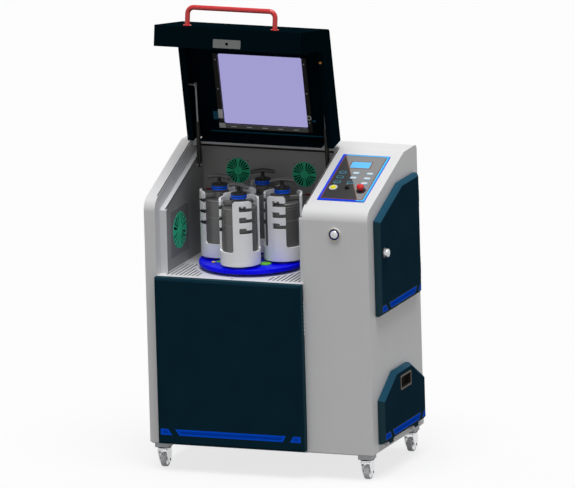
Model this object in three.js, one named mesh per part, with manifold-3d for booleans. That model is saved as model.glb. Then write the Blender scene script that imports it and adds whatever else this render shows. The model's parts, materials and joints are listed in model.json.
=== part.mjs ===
// Planetary ball mill: a floor-standing laboratory machine. Four jars in slotted holders ride on a
// turning disc under a hinged hood, and a sun gear below the disc makes them counter-turn.
// Millimetres, +Z up. The origin is at the middle of the footprint, on the floor, and the front
// faces -Y. While a piece is made, x runs from the cabinet's left side, y from its front face and
// z from its underside; the outermost group then moves the machine to the origin.
import * as THREE from 'three';
import { mergeVertices } from 'three/addons/utils/BufferGeometryUtils.js';
import Module from 'manifold-3d';

const wasm = await Module();
wasm.setup();

// Cabinet
const cabinetWidth = 940;
const cabinetDepth = 567;
const frontEdgeHeight = 972.5;
const slopeRise = 158.5;
const topLedgeDepth = 143;
const frontBendRadius = 58;
const rearBendRadius = 20;
const bendSteps = 6;
const sheet = 3;
const seatGap = 0.3;
const overrun = 20;
const mergeTolerance = 0.0001;
const leftColumnWidth = 46.8;
const rightColumnWidth = 275.5;

// Milling chamber
const mouthHeight = 296.9;
const deckLip = 30;
const seatWidth = 22;
const seatSetback = 48.5;
const seatDepth = 58;
const jambWidth = 7.5;
const jambDepth = 10;
const rearWallInset = 87;
const railInset = 131;
const railLip = 24;

// Vent slots of the deck
const ventCount = 8;
const ventPitch = 17.7;
const ventWidth = 7;
const ventLength = 200;
const ventFrontSetback = 29;
const ventSideInset = 11;
const ventDiscClearance = 9;

// Fans and their grilles
const rearFanSpread = 140;
const rearFanDrop = 128;
const rearFanDiameter = 100;
const sideFanSetback = 200;
const sideFanRise = 139.4;
const sideFanDiameter = 145;
const sideFanPlate = 188;
const sideFanPlateThickness = 2.5;
const grilleHubDiameter = 34;
const grilleSlots = 12;
const grilleSlotShare = 0.55;
const fanThickness = 14;
const fanHubDiameter = 36;
const fanHubWall = 3;
const fanTipClearance = 2;
const fanBlades = 7;
const fanBladeThickness = 2;
const fanBladePitchDegrees = 35;
const fanPinDiameter = 8;
const fanStandOff = 2;

// Front panel
const panelProud = 37.6;
const panelFoot = 3.7;
const panelBevel = 9;
const panelSheet = 2;
const panelSideGap = 1;

// Rotor disc and jar drive
const discCentreOffset = 16;
const discRearClearance = 11;
const discBayShare = 0.345;
const discStandOff = 30.4;
const discRimDrop = 18;
const discRimWall = 9;
const discWeb = 12;
const discEdgeRadius = 5;
const jarCount = 4;
const jarPitchShare = 44 / 71;
const sunTeeth = 32;
const planetTeeth = 16;
const gearThickness = 12;
const gearDeckClearance = 4;
const toothAddendumShare = 0.9;
const toothDedendumShare = 1.15;
const toothTipShare = 0.15;
const toothRootShare = 0.3;
const bossDiameter = 50;
const bossInset = 20;
const bossHeight = 4;

// Main shaft, bearing housing and belt drive
const shaftDiameter = 50;
const shaftCapDiameter = 84;
const shaftCapHeight = 9;
const shaftShoulderDiameter = 68;
const runningGap = 0.5;
const housingNeckShare = 45 / 88;
const housingShoulderDiameter = 112;
const housingBodyDiameter = 124;
const housingLength = 110;
const housingFlangeDiameter = 190;
const housingFlangeThickness = 10;
const pulleyWidth = 36;
const largePulleyDiameter = 180;
const smallPulleyDiameter = 90;
const beltWidth = 17;
const beltThickness = 9;
const beltGrooveDepth = 12;
const pulleyGap = 14;
const motorWallDistance = 86.85;
const motorDiameter = 138;
const motorLength = 230;
const motorShaftDiameter = 24;
const motorPlateSize = 170;
const motorPlateThickness = 8;
const motorBracketDrop = 120;
const terminalBoxSize = 80;
const terminalBoxReach = 34;

// Frequency inverter in the electrical bay
const inverterWidth = 110;
const inverterLength = 170;
const inverterHeight = 230;
const inverterDrop = 65.6;
const inverterSetback = 190;
const inverterRibs = 6;
const inverterRibDepth = 14;
const inverterRibWall = 3;

// Jar holders
const holderStandOff = 11;
const holderPitchShare = 40 / 33;
const holderWall = 9;
const holderFloor = 10;
const holderCupHeight = 55;
const holderHeight = 262;
const holderArms = 3;
const holderWindowShare = 0.5125;
const holderWindowRadius = 12;
const holderArmOffsetDegrees = 30;
const slotsPerArm = 3;
const slotPitch = 44.5;
const slotTopInset = 19;
const slotPocketHeight = 20;
const slotEntryHeight = 11;
const slotPocketShares = [0.33, 0.69];
const spindleDiameter = 34;
const spindleFlangeDiameter = 70;

// Jars, covers and clamps
const jarClearance = 2;
const jarWall = 8;
const jarHeight = 196;
const coverHeight = 22;
const coverPlug = 5;
const yokeHeight = 16;
const yokeHubDiameter = 56;
const yokeArmWidth = 26;
const yokeRootShare = 0.35;
const yokePinDiameter = 11;
const screwDiameter = 20;
const knobDiameter = 64;
const knobHeight = 24;
const knobLift = 14;
const knobGap = 1;
const stemDiameter = 16;
const handleSpanShare = 0.6;
const handleBarDiameter = 12;
const handleLift = 26;
const handleArch = 7;
const handleSteps = 6;
const handleYawDegrees = -20;

// Lid
const lidDepth = 84;
const lidSideGap = 1.5;
const lidFootGap = 4.4;
const lidLip = 25;
const lidCornerRadius = 18;
const lidOpenDegrees = 99.5;
const hingeLead = 8;
const hingeRise = 10;
const hingeWallGap = 8.6;
const knuckleDiameter = 12;
const hingePinDiameter = 6;
const knuckleLength = 60;
const knuckleEndLength = 24;
const knuckleGap = 1;
const hingeSideInset = 96;
const hingeLeafDepth = 46;
const windowWidth = 354;
const windowFrontInset = 130.4;
const windowHingeInset = 47;
const windowOverlap = 8;
const windowThickness = 5;
const strikeWidth = 116;
const strikeDepth = 34;
const strikeInset = 44;
const strikeThickness = 2;
const strikeHoleDiameter = 12;
const bowSpacing = 368;
const bowStandOff = 74;
const bowDiameter = 20;
const bowBendRadius = 25;
const bowEdgeInset = 40;
const bowFootDiameter = 34;
const bowFootHeight = 4;
const bowSteps = 40;

// Gas struts
const strutLowerLead = 31;
const strutLowerDrop = 96;
const strutUpperHingeInset = 220.5;
const strutUpperDepth = 33.7;
const strutSideInset = 38;
const strutCylinderDiameter = 18.5;
const strutCylinderLength = 168;
const strutRodDiameter = 9.5;
const strutRodLength = 172;
const strutEyeDiameter = 18;
const strutEyeWidth = 8;
const strutPinDiameter = 8;
const strutPinHeadDiameter = 13;
const strutPinHead = 3;
const openPivotGap = 1;
const strutNotchGap = 4;
const strutNotchDepth = 40;
const weldOverlap = 1;

// Control panel
const panelPlateFront = 81;
const panelPlateRear = 44.65;
const panelPlateSide = 38.5;
const panelPlateFarSide = 39.5;
const panelPlateThickness = 3;
const panelCutoutInset = 14;
const startShares = [0.1975, 0.269];
const startDiameter = 24;
const startProud = 5;
const selectorShares = [0.491, 0.278];
const selectorDiameter = 20;
const selectorProud = 15;
const selectorGrip = 6.7;
const stopShares = [0.81, 0.2355];
const stopHeadDiameter = 30;
const stopHeadHeight = 13;
const stopBaseDiameter = 34;
const stopBaseHeight = 5;
const stopStemDiameter = 16;
const stopProud = 14;
const stopFootRadius = 2;
const stopEdgeRadius = 4;
const buttonStem = 16;
const buttonGap = 0.4;

// Power button on the front of the right column
const powerDrop = 88;
const powerRingDiameter = 52;
const powerRingProud = 6;
const powerButtonDiameter = 34;
const powerButtonProud = 9;
const powerButtonStem = 24;

// Service door and lower hatch on the right side
const doorThickness = 27;
const doorBevel = 11;
const doorSheet = 2;
const doorGap = 0.5;
const doorRebate = 16;
const doorFrontSetback = 65;
const doorRearInset = 49;
const doorFoot = 545;
const doorFrontDrop = 43.5;
const doorRearDrop = 103;
const doorTopLead = 101;
const doorKnobSetback = 109;
const doorKnobDrop = 133;
const doorKnobDiameter = 34;
const doorKnobProud = 20;
const doorKnobStem = 12;
const doorKnobEdgeRadius = 5;
const hatchFrontSetback = 62;
const hatchRearInset = 39;
const hatchFoot = 31;
const hatchSideTop = 206;
const hatchTop = 292;
const hatchSlantShare = 0.32;
const pullWidth = 106;
const pullOffset = 15;
const pullFoot = 213;
const pullTop = 259.5;
const pullDepth = 20;
const sideKnuckleDiameter = 13;
const sideKnuckleLength = 46;
const sideKnuckleEnd = 20;
const sidePinDiameter = 6;
const sideHingeLead = 9;
const hingeShare = 0.2;

// Base frame, rear cover and casters
const trayThickness = 5;
const trayRim = 36;
const casterSideInset = 42;
const casterSetback = 42;
const casterBlockWidth = 56;
const casterBlockHeight = 24;
const casterHeight = 108;
const casterGap = 2;
const casterStemDiameter = 14;
const casterStemLength = 16;
const forkWidth = 42;
const forkDepth = 58;
const forkCrown = 10;
const forkPlate = 4;
const forkTrail = 10;
const forkReach = 12;
const wheelDiameter = 58;
const wheelWidth = 24;
const wheelFlats = 16;
const axleDiameter = 8;
const rearVentRows = 9;
const rearVentPitch = 16;
const rearVentHeight = 6;
const rearVentLength = 180;
const rearVentFoot = 330;
const inletWidth = 50;
const inletHeight = 28;
const inletDepth = 22;
const inletWall = 3;
const inletFloorHeight = 60;
const inletSideInset = 90;

// Sizes worked out from the ones above
const rearTopHeight = frontEdgeHeight + slopeRise;
const deckHeight = frontEdgeHeight - mouthHeight;
const slopeRun = cabinetDepth - topLedgeDepth;
const slopeLength = Math.hypot(slopeRun, slopeRise);
const slopeAngle = Math.atan2(slopeRise, slopeRun);
const slopeRunUnit = Math.cos(slopeAngle);
const slopeRiseUnit = Math.sin(slopeAngle);
const bayLeft = leftColumnWidth;
const bayRight = cabinetWidth - rightColumnWidth;
const bayWidth = bayRight - bayLeft;
const bayMiddle = (bayLeft + bayRight) / 2;
const rearWallSetback = cabinetDepth - rearWallInset;
const railSetback = cabinetDepth - railInset;
const rearFanHeight = rearTopHeight - rearFanDrop;
const sideFanHeight = deckHeight + sideFanRise;
// The disc fills the chamber's tighter way, and the jars and gears follow from it
const discCentreSetback = rearWallSetback / 2 + discCentreOffset;
const discRearRoom = rearWallSetback - discCentreSetback - discRearClearance;
const discRadius = Math.min(discRearRoom, bayWidth * discBayShare);
const discTop = deckHeight + discStandOff;
const jarPitchRadius = discRadius * jarPitchShare;
const gearModule = 2 * jarPitchRadius / (sunTeeth + planetTeeth);
const holderFloorHeight = discTop + holderStandOff;
const holderDiameter = jarPitchRadius * holderPitchShare;
const holderWindowWidth = holderDiameter * holderWindowShare;
const handleSpan = holderDiameter * handleSpanShare;
const housingNeckDiameter = gearModule * sunTeeth * housingNeckShare;
const driveSpan = bayWidth / 2 - motorWallDistance;
const inverterFloor = deckHeight - inverterDrop;
const powerSide = rightColumnWidth / 2;
const powerHeight = frontEdgeHeight - powerDrop;
const panelPlateWidth = rightColumnWidth - panelPlateSide - panelPlateFarSide;
const panelPlateLength = slopeLength - panelPlateFront - panelPlateRear;
const onPlate = ([across, up]) => [
  panelPlateSide + across * panelPlateWidth,
  panelPlateFront + up * panelPlateLength,
];
const [startSide, startSetback] = onPlate(startShares);
const [selectorSide, selectorSetback] = onPlate(selectorShares);
const [stopSide, stopSetback] = onPlate(stopShares);
const doorRearSetback = cabinetDepth - doorRearInset;
const doorTopSetback = slopeRun - doorTopLead;
const doorFrontTop = frontEdgeHeight - doorFrontDrop;
const doorRearTop = rearTopHeight - doorRearDrop;
const doorKnobHeight = doorFrontTop - doorKnobDrop;
const hatchRearSetback = cabinetDepth - hatchRearInset;
const hatchSlantDepth = (hatchRearSetback - hatchFrontSetback) * hatchSlantShare;
const hatchTopFront = hatchFrontSetback + hatchSlantDepth;
const hatchTopRear = hatchRearSetback - hatchSlantDepth;
const pullMiddle = (hatchTopFront + hatchTopRear) / 2 + pullOffset;
const pullFrontSetback = pullMiddle - pullWidth / 2;
const pullRearSetback = pullMiddle + pullWidth / 2;
const gearFoot = deckHeight + gearDeckClearance;
const gearTop = gearFoot + gearThickness;
const discUnderside = discTop - discWeb;
const holderTop = holderFloorHeight + holderHeight;
const hingeAxis = [railSetback - hingeLead, rearTopHeight + hingeRise];
const lidOpenAngle = THREE.MathUtils.degToRad(lidOpenDegrees);
const doorAxis = [cabinetWidth + doorThickness / 2, doorRearSetback + sideHingeLead];
const hatchAxis = [cabinetWidth + doorThickness / 2, hatchFoot - sideHingeLead];
const innerLeft = cabinetWidth - rightColumnWidth + sheet;

// Colours and finishes
function finish(color, roughness, metalness) {
  return new THREE.MeshStandardMaterial({ color, roughness, metalness });
}

const finishes = {
  shellGray: finish(0xd6d6d6, 0.45, 0.1),
  deckWhite: finish(0xeeeeee, 0.4, 0.1),
  chamberGray: finish(0x5a5c5e, 0.5, 0.3),
  navy: finish(0x0d212b, 0.35, 0.2),
  lidNavy: finish(0x050f14, 0.35, 0.2),
  glass: finish(0xa5a0d2, 0.1, 0),
  red: finish(0xc81419, 0.3, 0),
  discBlue: finish(0x0a0ae6, 0.3, 0.1),
  silver: finish(0xb9bbbe, 0.3, 0.8),
  steel: finish(0x555555, 0.35, 0.8),
  knobBlue: finish(0x0f50c8, 0.3, 0.1),
  fanGreen: finish(0x23825f, 0.4, 0),
  chrome: finish(0xdcdcdc, 0.12, 1),
  black: finish(0x151515, 0.5, 0),
  castIron: finish(0x3c3f42, 0.6, 0.5),
  frameGray: finish(0x8a8c8e, 0.5, 0.4),
  panelBlue: finish(0x1e3cb4, 0.35, 0.1),
  yellow: finish(0xe6be28, 0.35, 0),
};

// Solids: three.js geometry goes in, is cut and joined, and comes back as geometry
function toSolid(geometry) {
  const bare = geometry.clone();
  for (const name of ['normal', 'uv']) bare.deleteAttribute(name);
  const merged = mergeVertices(bare, mergeTolerance);
  const corners = new Uint32Array(merged.index.array);
  const build = () => new wasm.Manifold(new wasm.Mesh({
    numProp: 3,
    vertProperties: new Float32Array(merged.attributes.position.array),
    triVerts: corners,
  }));
  const solid = build();
  if (solid.volume() > 0) return solid;
  for (let index = 0; index < corners.length; index += 3) {
    [corners[index], corners[index + 1]] = [corners[index + 1], corners[index]];
  }
  return build();
}

function toGeometry(solid) {
  const mesh = solid.getMesh();
  const geometry = new THREE.BufferGeometry();
  geometry.setAttribute('position', new THREE.BufferAttribute(mesh.vertProperties, 3));
  geometry.setIndex(new THREE.BufferAttribute(mesh.triVerts, 1));
  const flat = geometry.toNonIndexed();
  flat.computeVertexNormals();
  return flat;
}

const join = (...solids) => solids.reduce((whole, piece) => whole.add(piece));
const cut = (solid, ...tools) => tools.reduce((whole, tool) => whole.subtract(tool), solid);

function block(xLow, yLow, zLow, xHigh, yHigh, zHigh) {
  const geometry = new THREE.BoxGeometry(xHigh - xLow, yHigh - yLow, zHigh - zLow);
  geometry.translate((xLow + xHigh) / 2, (yLow + yHigh) / 2, (zLow + zHigh) / 2);
  return toSolid(geometry);
}

// An outline in the plane of two axes, pushed along the third one from low to high
function outlineShape(points) {
  return new THREE.Shape(points.map(([across, along]) => new THREE.Vector2(across, along)));
}

function extrude(points, low, high, basis) {
  const depth = high - low;
  const geometry = new THREE.ExtrudeGeometry(outlineShape(points), { depth, bevelEnabled: false });
  geometry.translate(0, 0, low);
  geometry.applyMatrix4(new THREE.Matrix4().makeBasis(...basis));
  return toSolid(geometry);
}

const axisX = new THREE.Vector3(1, 0, 0);
const axisY = new THREE.Vector3(0, 1, 0);
const axisZ = new THREE.Vector3(0, 0, 1);
const alongX = (points, low, high) => extrude(points, low, high, [axisY, axisZ, axisX]);
const alongZ = (points, low, high) => extrude(points, low, high, [axisX, axisY, axisZ]);
// Outlines along Y are given as (x, z)
const alongY = (points, low, high) => extrude(points, -high, -low, [axisX, axisZ, axisY.clone().negate()]);

function rectangle(acrossLow, alongLow, acrossHigh, alongHigh) {
  return [[acrossLow, alongLow], [acrossHigh, alongLow], [acrossHigh, alongHigh], [acrossLow, alongHigh]];
}

// Rounds the corners of a closed outline; radii is one radius for all corners, or one for each
function rounded(points, radii, steps = 4) {
  const result = [];
  points.forEach((corner, index) => {
    const radius = Array.isArray(radii) ? radii[index] : radii;
    if (radius <= 0) {
      result.push(corner);
      return;
    }
    const here = new THREE.Vector2(...corner);
    const before = new THREE.Vector2(...points.at(index - 1)).sub(here);
    const after = new THREE.Vector2(...points[(index + 1) % points.length]).sub(here);
    const half = Math.acos(before.dot(after) / before.length() / after.length()) / 2;
    const reach = radius / Math.tan(half);
    const start = here.clone().addScaledVector(before.normalize(), reach);
    const end = here.clone().addScaledVector(after.normalize(), reach);
    const middle = here.clone().addScaledVector(before.add(after).normalize(), radius / Math.sin(half));
    const first = start.sub(middle);
    const last = end.sub(middle);
    const sweep = Math.atan2(first.cross(last), first.dot(last));
    for (let step = 0; step <= steps; step += 1) {
      const turned = first.clone().rotateAround(new THREE.Vector2(), sweep * step / steps).add(middle);
      result.push([turned.x, turned.y]);
    }
  });
  return result;
}

function circle(radius, sides, middle = [0, 0]) {
  return Array.from({ length: sides }, (_, index) => {
    const angle = 2 * Math.PI * index / sides;
    return [middle[0] + radius * Math.cos(angle), middle[1] + radius * Math.sin(angle)];
  });
}

// Round bars along each axis
const rodAlong = (along, sidesNormally) => (diameter, middle, low, high, sides = sidesNormally) => (
  along(circle(diameter / 2, sides, middle), low, high));
const rodX = rodAlong(alongX, 16);
const rodY = rodAlong(alongY, 16);
const rodZ = rodAlong(alongZ, 24);

// Turned about the Z axis from a closed profile of (radius, height) points
function turned(profile, sides) {
  const points = profile.map(([radius, height]) => new THREE.Vector2(radius, height));
  if (profile[0][0] > 0) points.push(points[0].clone());
  return toSolid(new THREE.LatheGeometry(points, sides).rotateX(Math.PI / 2));
}

function placed(solid, matrix) {
  return toSolid(toGeometry(solid).applyMatrix4(matrix));
}

const moved = (solid, x, y, z) => placed(solid, new THREE.Matrix4().makeTranslation(x, y, z));
const spun = (solid, axis, angle) => placed(solid, new THREE.Matrix4().makeRotationAxis(axis, angle));

// A plate with a chamfered face: the outline lies in two axes and the face looks along the third one
function bevelledPlate(points, thickness, bevel, basis) {
  const geometry = new THREE.ExtrudeGeometry(outlineShape(points), {
    depth: thickness - bevel,
    bevelEnabled: true,
    bevelThickness: bevel,
    bevelSize: bevel,
    bevelOffset: -bevel,
    bevelSegments: 1,
  });
  const reach = cabinetWidth + rearTopHeight;
  const behind = block(-reach, -reach, -reach, reach, reach, 0);
  return placed(toSolid(geometry).subtract(behind), new THREE.Matrix4().makeBasis(...basis));
}

function addPart(parent, name, solid, material) {
  const mesh = new THREE.Mesh(toGeometry(solid), material);
  mesh.name = name;
  parent.add(mesh);
  return mesh;
}

// Cabinet shells. The side profile is (y, z): upright front, sloping top, flat rear top, upright rear
function slopeHeight(setback, inset) {
  return frontEdgeHeight + setback * slopeRiseUnit / slopeRunUnit - inset / slopeRunUnit;
}

function sideProfile(inset, foot) {
  const bendSetback = (rearTopHeight - inset - slopeHeight(0, inset)) * slopeRunUnit / slopeRiseUnit;
  const rear = cabinetDepth - inset;
  const corners = [
    [inset, foot],
    [inset, slopeHeight(inset, inset)],
    [bendSetback, rearTopHeight - inset],
    [rear, rearTopHeight - inset],
    [rear, foot],
  ];
  return rounded(corners, [0, frontBendRadius - inset, 0, rearBendRadius - inset, 0], bendSteps);
}

function columnShell(left, right) {
  const outside = alongX(sideProfile(0, 0), left, right);
  const inside = alongX(sideProfile(sheet, -overrun), left + sheet, right - sheet);
  return cut(outside, inside);
}

function leftShell() {
  const fanOpening = rodX(sideFanDiameter + 2 * fanTipClearance, [sideFanSetback, sideFanHeight],
    sheet + seatGap, bayLeft + overrun, 24);
  return cut(columnShell(0, bayLeft), fanOpening);
}

// The machine's right column: shell with the door, hatch, panel and power button openings
function doorOutline(inset) {
  const rise = (doorRearTop - doorFrontTop) / (doorTopSetback - doorFrontSetback);
  const slant = Math.hypot(1, rise);
  const topSetback = doorTopSetback + inset * (slant - 1) / rise;
  return [
    [doorFrontSetback + inset, doorFoot + inset],
    [doorRearSetback - inset, doorFoot + inset],
    [doorRearSetback - inset, doorRearTop - inset],
    [topSetback, doorRearTop - inset],
    [doorFrontSetback + inset, doorFrontTop + inset * (rise - slant)],
  ];
}

function hatchOutline(inset) {
  const frontRise = (hatchTop - hatchSideTop) / (hatchTopFront - hatchFrontSetback);
  const rearRise = (hatchTop - hatchSideTop) / (hatchRearSetback - hatchTopRear);
  const shift = (rise) => inset * (Math.hypot(1, rise) - 1) / rise;
  const drop = (rise) => inset * (rise - Math.hypot(1, rise));
  return [
    [hatchFrontSetback + inset, hatchFoot + inset],
    [hatchRearSetback - inset, hatchFoot + inset],
    [hatchRearSetback - inset, hatchSideTop + drop(rearRise)],
    [hatchTopRear - shift(rearRise), hatchTop - inset],
    [hatchTopFront + shift(frontRise), hatchTop - inset],
    [hatchFrontSetback + inset, hatchSideTop + drop(frontRise)],
  ];
}

// Turns a solid drawn on the sloping top (x across, y up the slope, z out of it) into its place
function onSlope(solid, side) {
  const place = new THREE.Matrix4().makeTranslation(bayRight + side, 0, frontEdgeHeight);
  return placed(solid, place.multiply(new THREE.Matrix4().makeRotationX(slopeAngle)));
}

function panelCutout() {
  return onSlope(block(panelCutoutInset, panelPlateFront + panelCutoutInset, -overrun,
    panelPlateWidth - panelCutoutInset, panelPlateFront + panelPlateLength - panelCutoutInset, overrun),
  panelPlateSide);
}

// Fixed knuckles of a side hinge, on a web that grows out of the right column's side
function fixedSideKnuckle(axis, low, high, upright) {
  const radius = sideKnuckleDiameter / 2;
  const reach = [cabinetWidth - sheet / 2, axis[0]];
  if (upright) {
    const web = block(reach[0], axis[1] - radius / 2, low, reach[1], axis[1] + radius / 2, high);
    return join(rodZ(sideKnuckleDiameter, axis, low, high, 8), web);
  }
  const web = block(reach[0], low, axis[1] - radius / 2, reach[1], high, axis[1] + radius / 2);
  return join(rodY(sideKnuckleDiameter, axis, low, high, 8), web);
}

const doorHingeCentres = [
  doorFoot + (doorRearTop - doorFoot) * hingeShare,
  doorRearTop - (doorRearTop - doorFoot) * hingeShare,
];
const hatchHingeCentres = [
  hatchFrontSetback + (hatchRearSetback - hatchFrontSetback) * hingeShare,
  hatchRearSetback - (hatchRearSetback - hatchFrontSetback) * hingeShare,
];
const sideKnuckleSpans = [-1, 1].map((side) => [
  side * (sideKnuckleLength / 2 + knuckleGap),
  side * (sideKnuckleLength / 2 + knuckleGap + sideKnuckleEnd),
].sort((first, second) => first - second));

function sideHinges(axis, centres, upright) {
  const pieces = centres.flatMap((centre) => {
    const low = centre - sideKnuckleLength / 2 - knuckleGap - sideKnuckleEnd / 2;
    const high = centre + sideKnuckleLength / 2 + knuckleGap + sideKnuckleEnd / 2;
    const rod = upright ? rodZ : rodY;
    const ends = sideKnuckleSpans.map(([start, end]) => (
      fixedSideKnuckle(axis, centre + start, centre + end, upright)));
    return [...ends, rod(sidePinDiameter, axis, low, high, 8)];
  });
  return join(...pieces);
}

function rightShell() {
  const ring = cut(
    rodY(powerRingDiameter, [bayRight + powerSide, powerHeight], -powerRingProud, sheet / 2, 20),
    rodY(powerButtonDiameter + 2 * buttonGap, [bayRight + powerSide, powerHeight], -overrun, overrun, 16),
  );
  const ringBore = rodY(powerButtonDiameter + 2 * buttonGap, [bayRight + powerSide, powerHeight], -overrun,
    sheet + overrun, 16);
  const inner = cabinetWidth - sheet - overrun;
  const sideOpening = (outline) => alongX(outline(doorRebate), inner, cabinetWidth + overrun);
  const shell = cut(columnShell(bayRight, cabinetWidth), ringBore, sideOpening(doorOutline),
    sideOpening(hatchOutline), panelCutout());
  return join(shell, ring, sideHinges(doorAxis, doorHingeCentres, true),
    sideHinges(hatchAxis, hatchHingeCentres, false));
}

function rearRail() {
  const left = bayLeft + seatGap;
  const right = bayRight - seatGap;
  const hollow = alongX(sideProfile(sheet, 0), left - overrun, right + overrun);
  const skin = cut(alongX(sideProfile(0, 0), left, right), hollow);
  const keep = block(left - overrun, railSetback, rearTopHeight - railLip, right + overrun,
    cabinetDepth + overrun, rearTopHeight + overrun);
  const lipTop = rearTopHeight - sheet / 2;
  const lip = block(left, railSetback, rearTopHeight - railLip, right, railSetback + sheet, lipTop);
  return join(skin.intersect(keep), lip, ...lidHingeCentres.map(fixedLidHinge));
}

// Straight slots behind a rear fan
function exhaustSlots(x, low) {
  const rows = Math.floor(rearFanDiameter / rearVentPitch);
  return Array.from({ length: rows }, (_, row) => {
    const foot = rearFanHeight + (row - rows / 2) * rearVentPitch;
    return block(x - rearFanDiameter / 2, low, foot, x + rearFanDiameter / 2, cabinetDepth + overrun,
      foot + rearVentHeight);
  });
}

function rearPanel() {
  const front = cabinetDepth - sheet;
  const plate = block(bayLeft + seatGap, front, 0, bayRight - seatGap, cabinetDepth,
    rearTopHeight - railLip - seatGap);
  const vents = Array.from({ length: rearVentRows }, (_, row) => {
    const foot = rearVentFoot + row * rearVentPitch;
    return block(bayMiddle - rearVentLength / 2, front - overrun, foot, bayMiddle + rearVentLength / 2,
      cabinetDepth + overrun, foot + rearVentHeight);
  });
  const exhausts = [-rearFanSpread, rearFanSpread].flatMap((side) => (
    exhaustSlots(bayMiddle + side, front - overrun)));
  const inletMiddle = bayRight - inletSideInset;
  const inletLow = inletMiddle - inletWidth / 2;
  const inletHigh = inletMiddle + inletWidth / 2;
  const socket = block(inletLow, front - inletDepth, inletFloorHeight, inletHigh, front + sheet / 2,
    inletFloorHeight + inletHeight);
  const mouth = block(inletLow + inletWall, front - inletDepth + inletWall, inletFloorHeight + inletWall,
    inletHigh - inletWall, cabinetDepth + overrun, inletFloorHeight + inletHeight - inletWall);
  return cut(join(plate, socket), ...vents, ...exhausts, mouth);
}

// Ring of slots round a hub, cut through a plate whose face looks along Y or X
function slotRing(diskRadius) {
  const hub = grilleHubDiameter / 2;
  const half = Math.PI / grilleSlots * grilleSlotShare;
  return Array.from({ length: grilleSlots }, (_, index) => {
    const middle = 2 * Math.PI * index / grilleSlots;
    const corner = (radius, side) => {
      const spread = half * side * hub / radius * (radius === hub ? 1 : 2);
      return [radius * Math.cos(middle + spread), radius * Math.sin(middle + spread)];
    };
    return [corner(hub, -1), corner(diskRadius, -1), corner(diskRadius, 1), corner(hub, 1)];
  });
}

function grilleSlotsAlongY(x, z, diskRadius, low, high) {
  const outline = (slot) => slot.map(([across, up]) => [x + across, z + up]);
  return slotRing(diskRadius).map((slot) => alongY(outline(slot), low, high));
}

function grilleSlotsAlongX(y, z, diskRadius, low, high) {
  const outline = (slot) => slot.map(([across, up]) => [y + across, z + up]);
  return slotRing(diskRadius).map((slot) => alongX(outline(slot), low, high));
}

// Milling chamber
function mirrored(solid) {
  return moved(placed(solid, new THREE.Matrix4().makeScale(-1, 1, 1)), 2 * bayMiddle, 0, 0);
}

function chamberProfile(inset) {
  const front = seatSetback + inset;
  const rear = rearWallSetback - inset;
  const foot = deckHeight + seatGap + inset;
  return [
    [front, foot],
    [rear, foot],
    [rear, slopeHeight(rear, seatDepth + inset)],
    [front, slopeHeight(front, seatDepth + inset)],
  ];
}

function strutStud(wallFace) {
  const eyeFar = bayLeft + strutSideInset + strutEyeWidth / 2 + seatGap;
  return join(
    rodX(strutPinDiameter, strutLower, wallFace - sheet / 2, eyeFar + strutPinHead / 2, 12),
    rodX(strutPinHeadDiameter, strutLower, eyeFar, eyeFar + strutPinHead, 12),
  );
}

// The pan's front edge is widened into the bay by an upright jamb
function chamberJamb(face) {
  const front = seatSetback;
  const rear = seatSetback + jambDepth;
  const foot = deckHeight + seatGap;
  const outline = [[front, foot], [rear, foot], [rear, slopeHeight(rear, seatDepth)],
    [front, slopeHeight(front, seatDepth)]];
  return alongX(outline, face - sheet, face + jambWidth);
}

function chamberSideWall() {
  const face = bayLeft + seatWidth;
  const pan = alongX(chamberProfile(0), bayLeft + seatGap, face);
  const hollow = alongX(chamberProfile(sheet), bayLeft - overrun, face - sheet);
  return join(cut(pan, hollow), chamberJamb(face), strutStud(face));
}

function chamberLeftWall() {
  const face = bayLeft + seatWidth;
  const half = sideFanPlate / 2;
  const plate = alongX(rectangle(sideFanSetback - half, sideFanHeight - half, sideFanSetback + half,
    sideFanHeight + half), face - sheet / 2, face + sideFanPlateThickness);
  const slots = grilleSlotsAlongX(sideFanSetback, sideFanHeight, sideFanDiameter / 2,
    bayLeft - overrun, face + overrun);
  const pinEnd = face - sheet - 2 * fanStandOff - fanThickness;
  const pin = rodX(fanPinDiameter, [sideFanSetback, sideFanHeight], pinEnd, face - sheet / 2, 8);
  return join(cut(join(chamberSideWall(), plate), ...slots), pin);
}

function chamberRearWall() {
  const front = rearWallSetback + seatGap;
  const back = front + sheet;
  const plate = block(bayLeft + seatGap, front, deckHeight + seatGap, bayRight - seatGap, back,
    rearTopHeight - sheet - seatGap);
  const fans = [bayMiddle - rearFanSpread, bayMiddle + rearFanSpread];
  const slots = fans.flatMap((x) => grilleSlotsAlongY(x, rearFanHeight, rearFanDiameter / 2, front - overrun,
    back + overrun));
  const pins = fans.map((x) => rodY(fanPinDiameter, [x, rearFanHeight], back - sheet / 2,
    back + 2 * fanStandOff + fanThickness, 8));
  return join(cut(plate, ...slots), ...pins);
}

// Vent slots run back from the front ledge and stop short of the disc
function ventSlot(x) {
  const aside = Math.abs(x - bayMiddle);
  const clear = discRadius + ventDiscClearance;
  const chord = aside < clear ? Math.sqrt(clear * clear - aside * aside) : 0;
  const end = Math.min(ventFrontSetback + ventLength, chord > 0 ? discCentreSetback - chord : cabinetDepth);
  const half = ventWidth / 2;
  return block(x - half, ventFrontSetback, deckHeight - sheet - overrun, x + half, end, deckHeight + overrun);
}

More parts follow.
